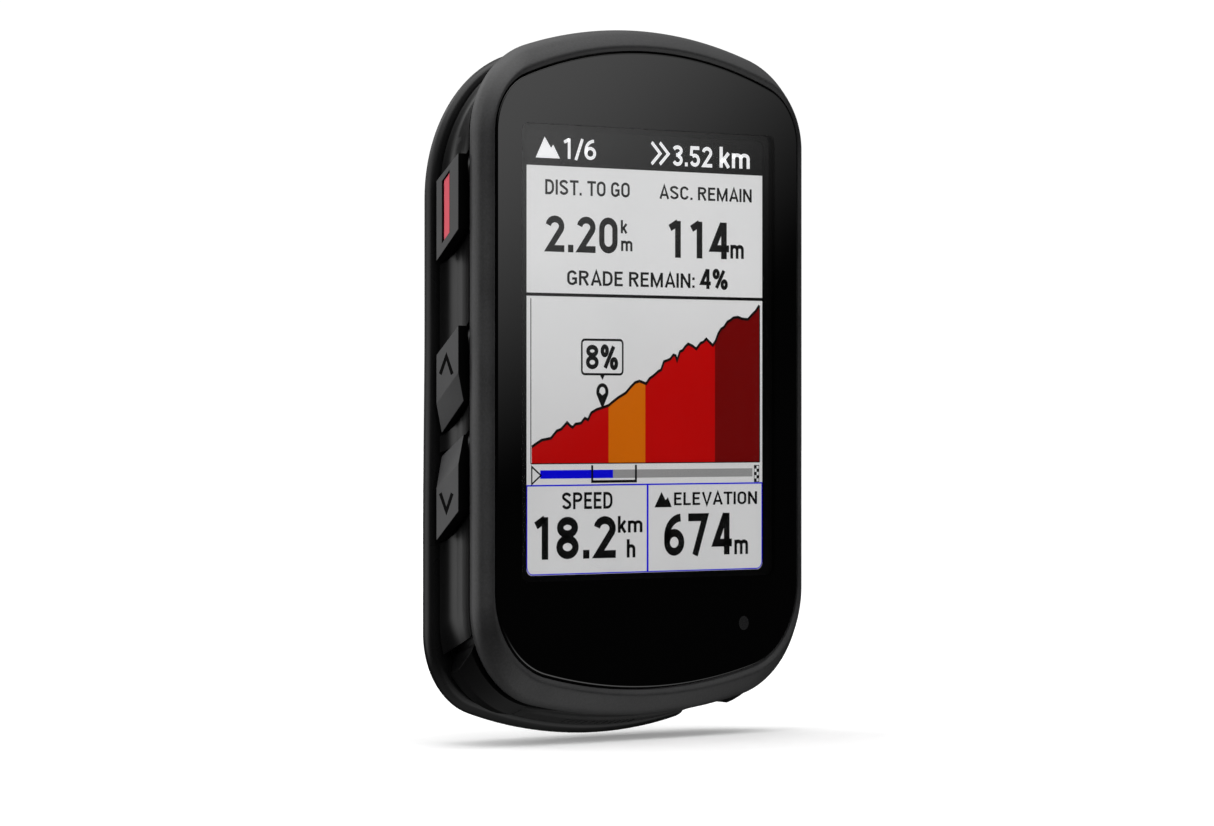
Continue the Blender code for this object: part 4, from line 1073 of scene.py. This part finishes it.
carve(cap, [tool("plug", block((-4.2, y_at(5.2), -42.6 + Z_DISPLAY), (4.2, y_at(6.7), -41.65 + Z_DISPLAY)))], "UNION")
bevel(cap, 0.15, 3, 25)

# ---- rear cover -----------------------------------------------------------------------------------------
SHELL_ROWS = [tuple(r) + (18.0, 10.0) for r in LIP_ROWS] + [
    (25.0, 35.0, -44.3, 0.15, 12.6, 16.5, 9.5), (22.6, 32.4, -42.2, 0.05, 14.4, 14.0, 8.5),
    (21.2, 30.8, -40.8, 0.0, 15.1, 13.0, 8.0), (19.6, 29.0, -39.2, 0.0, 15.5, 12.0, 7.0)]
shell_rings = [ring(rear_line(w, t, b, rt, rl, fl), y_at(d)) for w, t, b, fl, d, rt, rl in eased(SHELL_ROWS, 4, hard=(0, 8))]
inner_rings = [
    ring(rear_line(18.6, 26.6, -37.6, 9, 6), y_at(14.1)), ring(rear_line(20.6, 28.8, -39.4, 11, 8), y_at(13.7)),
    ring(rear_line(22.9, 31.6, -41.6, 13, 9), y_at(11.9)), ring(rear_line(24.5, 34.1, -42.6, 15.5, 9), y_at(10.2)),
    ring(rear_line(24.5, 34.1, -42.6, 15.5, 9), y_at(8.05)), ring(rear_line(25.2, 34.8, -43.2, 16, 9.5), y_at(8.05)),
    ring(rear_line(25.2, 34.8, -43.2, 16, 9.5), y_at(9.05)), ring(rear_line(26.2, 35.8, -44.0, 16.8, 10), y_at(9.05)),
    ring(rear_line(26.2, 35.8, -44.0, 16.8, 10), y_at(8.05))]
rear = piece("rear_shell", skin(inner_rings + shell_rings), REAR, stands_for=["rear_cover"], smooth=40)
adds, cutters = [], []
for sx in (-1, 1):
    for px, pz in (SCREWS_TOP, SCREWS_LOW):
        adds.append(tool("boss", disc((sx * px, pz + Z_DISPLAY), 2.3, y_at(8.1), y_at(14.6), 40)))
        cutters.append(tool("bore", disc((sx * px, pz + Z_DISPLAY), 1.1, y_at(7.5), -3.0, 32)))
        cutters.append(tool("sink", disc((sx * px, pz + Z_DISPLAY), 1.85, -5.2, -3.0)))
    cutters.append(tool("insert_thread", disc((sx * 7.5, 0.0), 1.1, -6.2, -3.0, 32)))
carve(rear, adds, "UNION")
cutters.append(tool("nail_relief", block((CAP_X1 + 0.2, y_at(7.0), -47.0 + Z_DISPLAY), (19.2, y_at(12.5), -42.75 + Z_DISPLAY))))
cutters.append(tool("vent_port", disc((-18.0, 2.0 + Z_DISPLAY), 0.55, y_at(14.3), -3.0, 24)))
carve(rear, cutters)
bevel(rear, 0.15, 3, 40)


# ---- quarter-turn insert ----------------------------------------------------------------------------------
def mount_ring(y, kind, shrink=0.0, sides=240):
    row = []
    for i in range(sides):
        a = 2 * math.pi * (i + 0.5) / sides
        r = MOUNT_NECK_R
        if kind == "tabs":
            inside = (abs(math.sin(a)) - math.sin(math.radians(58))) / 0.02
            r = mix(MOUNT_RIM_R, MOUNT_TAB_R, min(1.0, max(0.0, inside + 0.5)))
        r -= shrink
        row.append(Vector((r * math.cos(a), y, r * math.sin(a))) * MM)
    return row


insert = piece("quarter_turn_insert", skin([
    mount_ring(BACK_Y + GAP, "neck"), mount_ring(-MOUNT_TAB_T, "neck"), mount_ring(-MOUNT_TAB_T, "tabs"),
    mount_ring(-0.35, "tabs"), mount_ring(-0.12, "tabs", 0.1), mount_ring(0.0, "tabs", 0.35)]),
    MOUNT, stands_for=["mount_insert"], smooth=30)
cutters = []
for sx in (-1, 1):
    cutters.append(tool("insert_bore", disc((sx * 7.5, 0.0), 1.1, -5.0, 1.0, 32)))
    cutters.append(tool("insert_sink", disc((sx * 7.5, 0.0), 2.1, -1.5, 1.0, 48)))
carve(insert, cutters)

# ---- finishes of the pieces that keep their own solids --------------------------------------------------------
FINISH = {
    "lens_adhesive": GLUE, "lcd_panel": LCD_EDGE, "backlight": LIGHT, "display_tray": STEEL, "light_sensor": SENSOR,
    "usb_socket": STEEL, "main_board": BOARD, "processor_shield": STEEL, "radio_shield": STEEL, "gnss_antenna": CERAMIC,
    "battery": FOIL, "battery_pad": FOAM, "buzzer": SWITCH, "pressure_sensor": STEEL, "display_flex": FLEX,
    "housing_gasket": RUBBER, "vent_membrane": MEMBRANE,
}
for name, obj in frame["nodes"].items():
    if obj.hide_render:
        continue
    if name in FINISH:
        mat = FINISH[name]
    elif "screw" in name:
        mat = SCREW
    elif "plunger" in name:
        mat = PLUNGER
    elif "switch" in name:
        mat = SWITCH
    else:
        mat = REAR
    obj.data.materials.clear()
    obj.data.materials.append(mat)

# ---- floor -------------------------------------------------------------------------------------------------------
floor_mat, floor_nt, floor_bsdf = material("floor_paper")
floor_fine = noise(floor_nt, 3.0, 4.0)
floor_nt.links.new(ramp(floor_nt, floor_fine, [(0.3, (0.86, 0.86, 0.86)), (0.7, (0.88, 0.88, 0.88))]), floor_bsdf.inputs["Base Color"])
floor_nt.links.new(spread(floor_nt, floor_fine, 0.55, 0.65), floor_bsdf.inputs["Roughness"])
floor_bsdf.inputs["Specular IOR Level"].default_value = 0.2
floor_nt.links.new(floor_bsdf.inputs["Base Color"].links[0].from_socket, floor_bsdf.inputs["Emission Color"])
floor_bsdf.inputs["Emission Strength"].default_value = 0.3
# One-sided, so that the underside can be seen from below.
side_of = floor_nt.nodes.new("ShaderNodeNewGeometry")
either = floor_nt.nodes.new("ShaderNodeMixShader")
floor_nt.links.new(side_of.outputs["Backfacing"], either.inputs[0])
floor_nt.links.new(floor_bsdf.outputs[0], either.inputs[1])
floor_nt.links.new(floor_nt.nodes.new("ShaderNodeBsdfTransparent").outputs[0], either.inputs[2])
floor_out = next(n for n in floor_nt.nodes if n.type == "OUTPUT_MATERIAL")
floor_nt.links.new(either.outputs[0], floor_out.inputs["Surface"])
fbm = bmesh.new()
FLOOR_Z = -45.85 - 2.9 - 0.5
for x, y in ((-4, -4), (4, -4), (4, 4), (-4, 4)):
    fbm.verts.new((x, y, FLOOR_Z * MM))
fbm.verts.ensure_lookup_table()
fbm.faces.new(fbm.verts[:])
floor = piece("floor", fbm, floor_mat, body=None, smooth=0)
floor.visible_glossy = False
floor.visible_diffuse = False
floor.visible_transmission = False
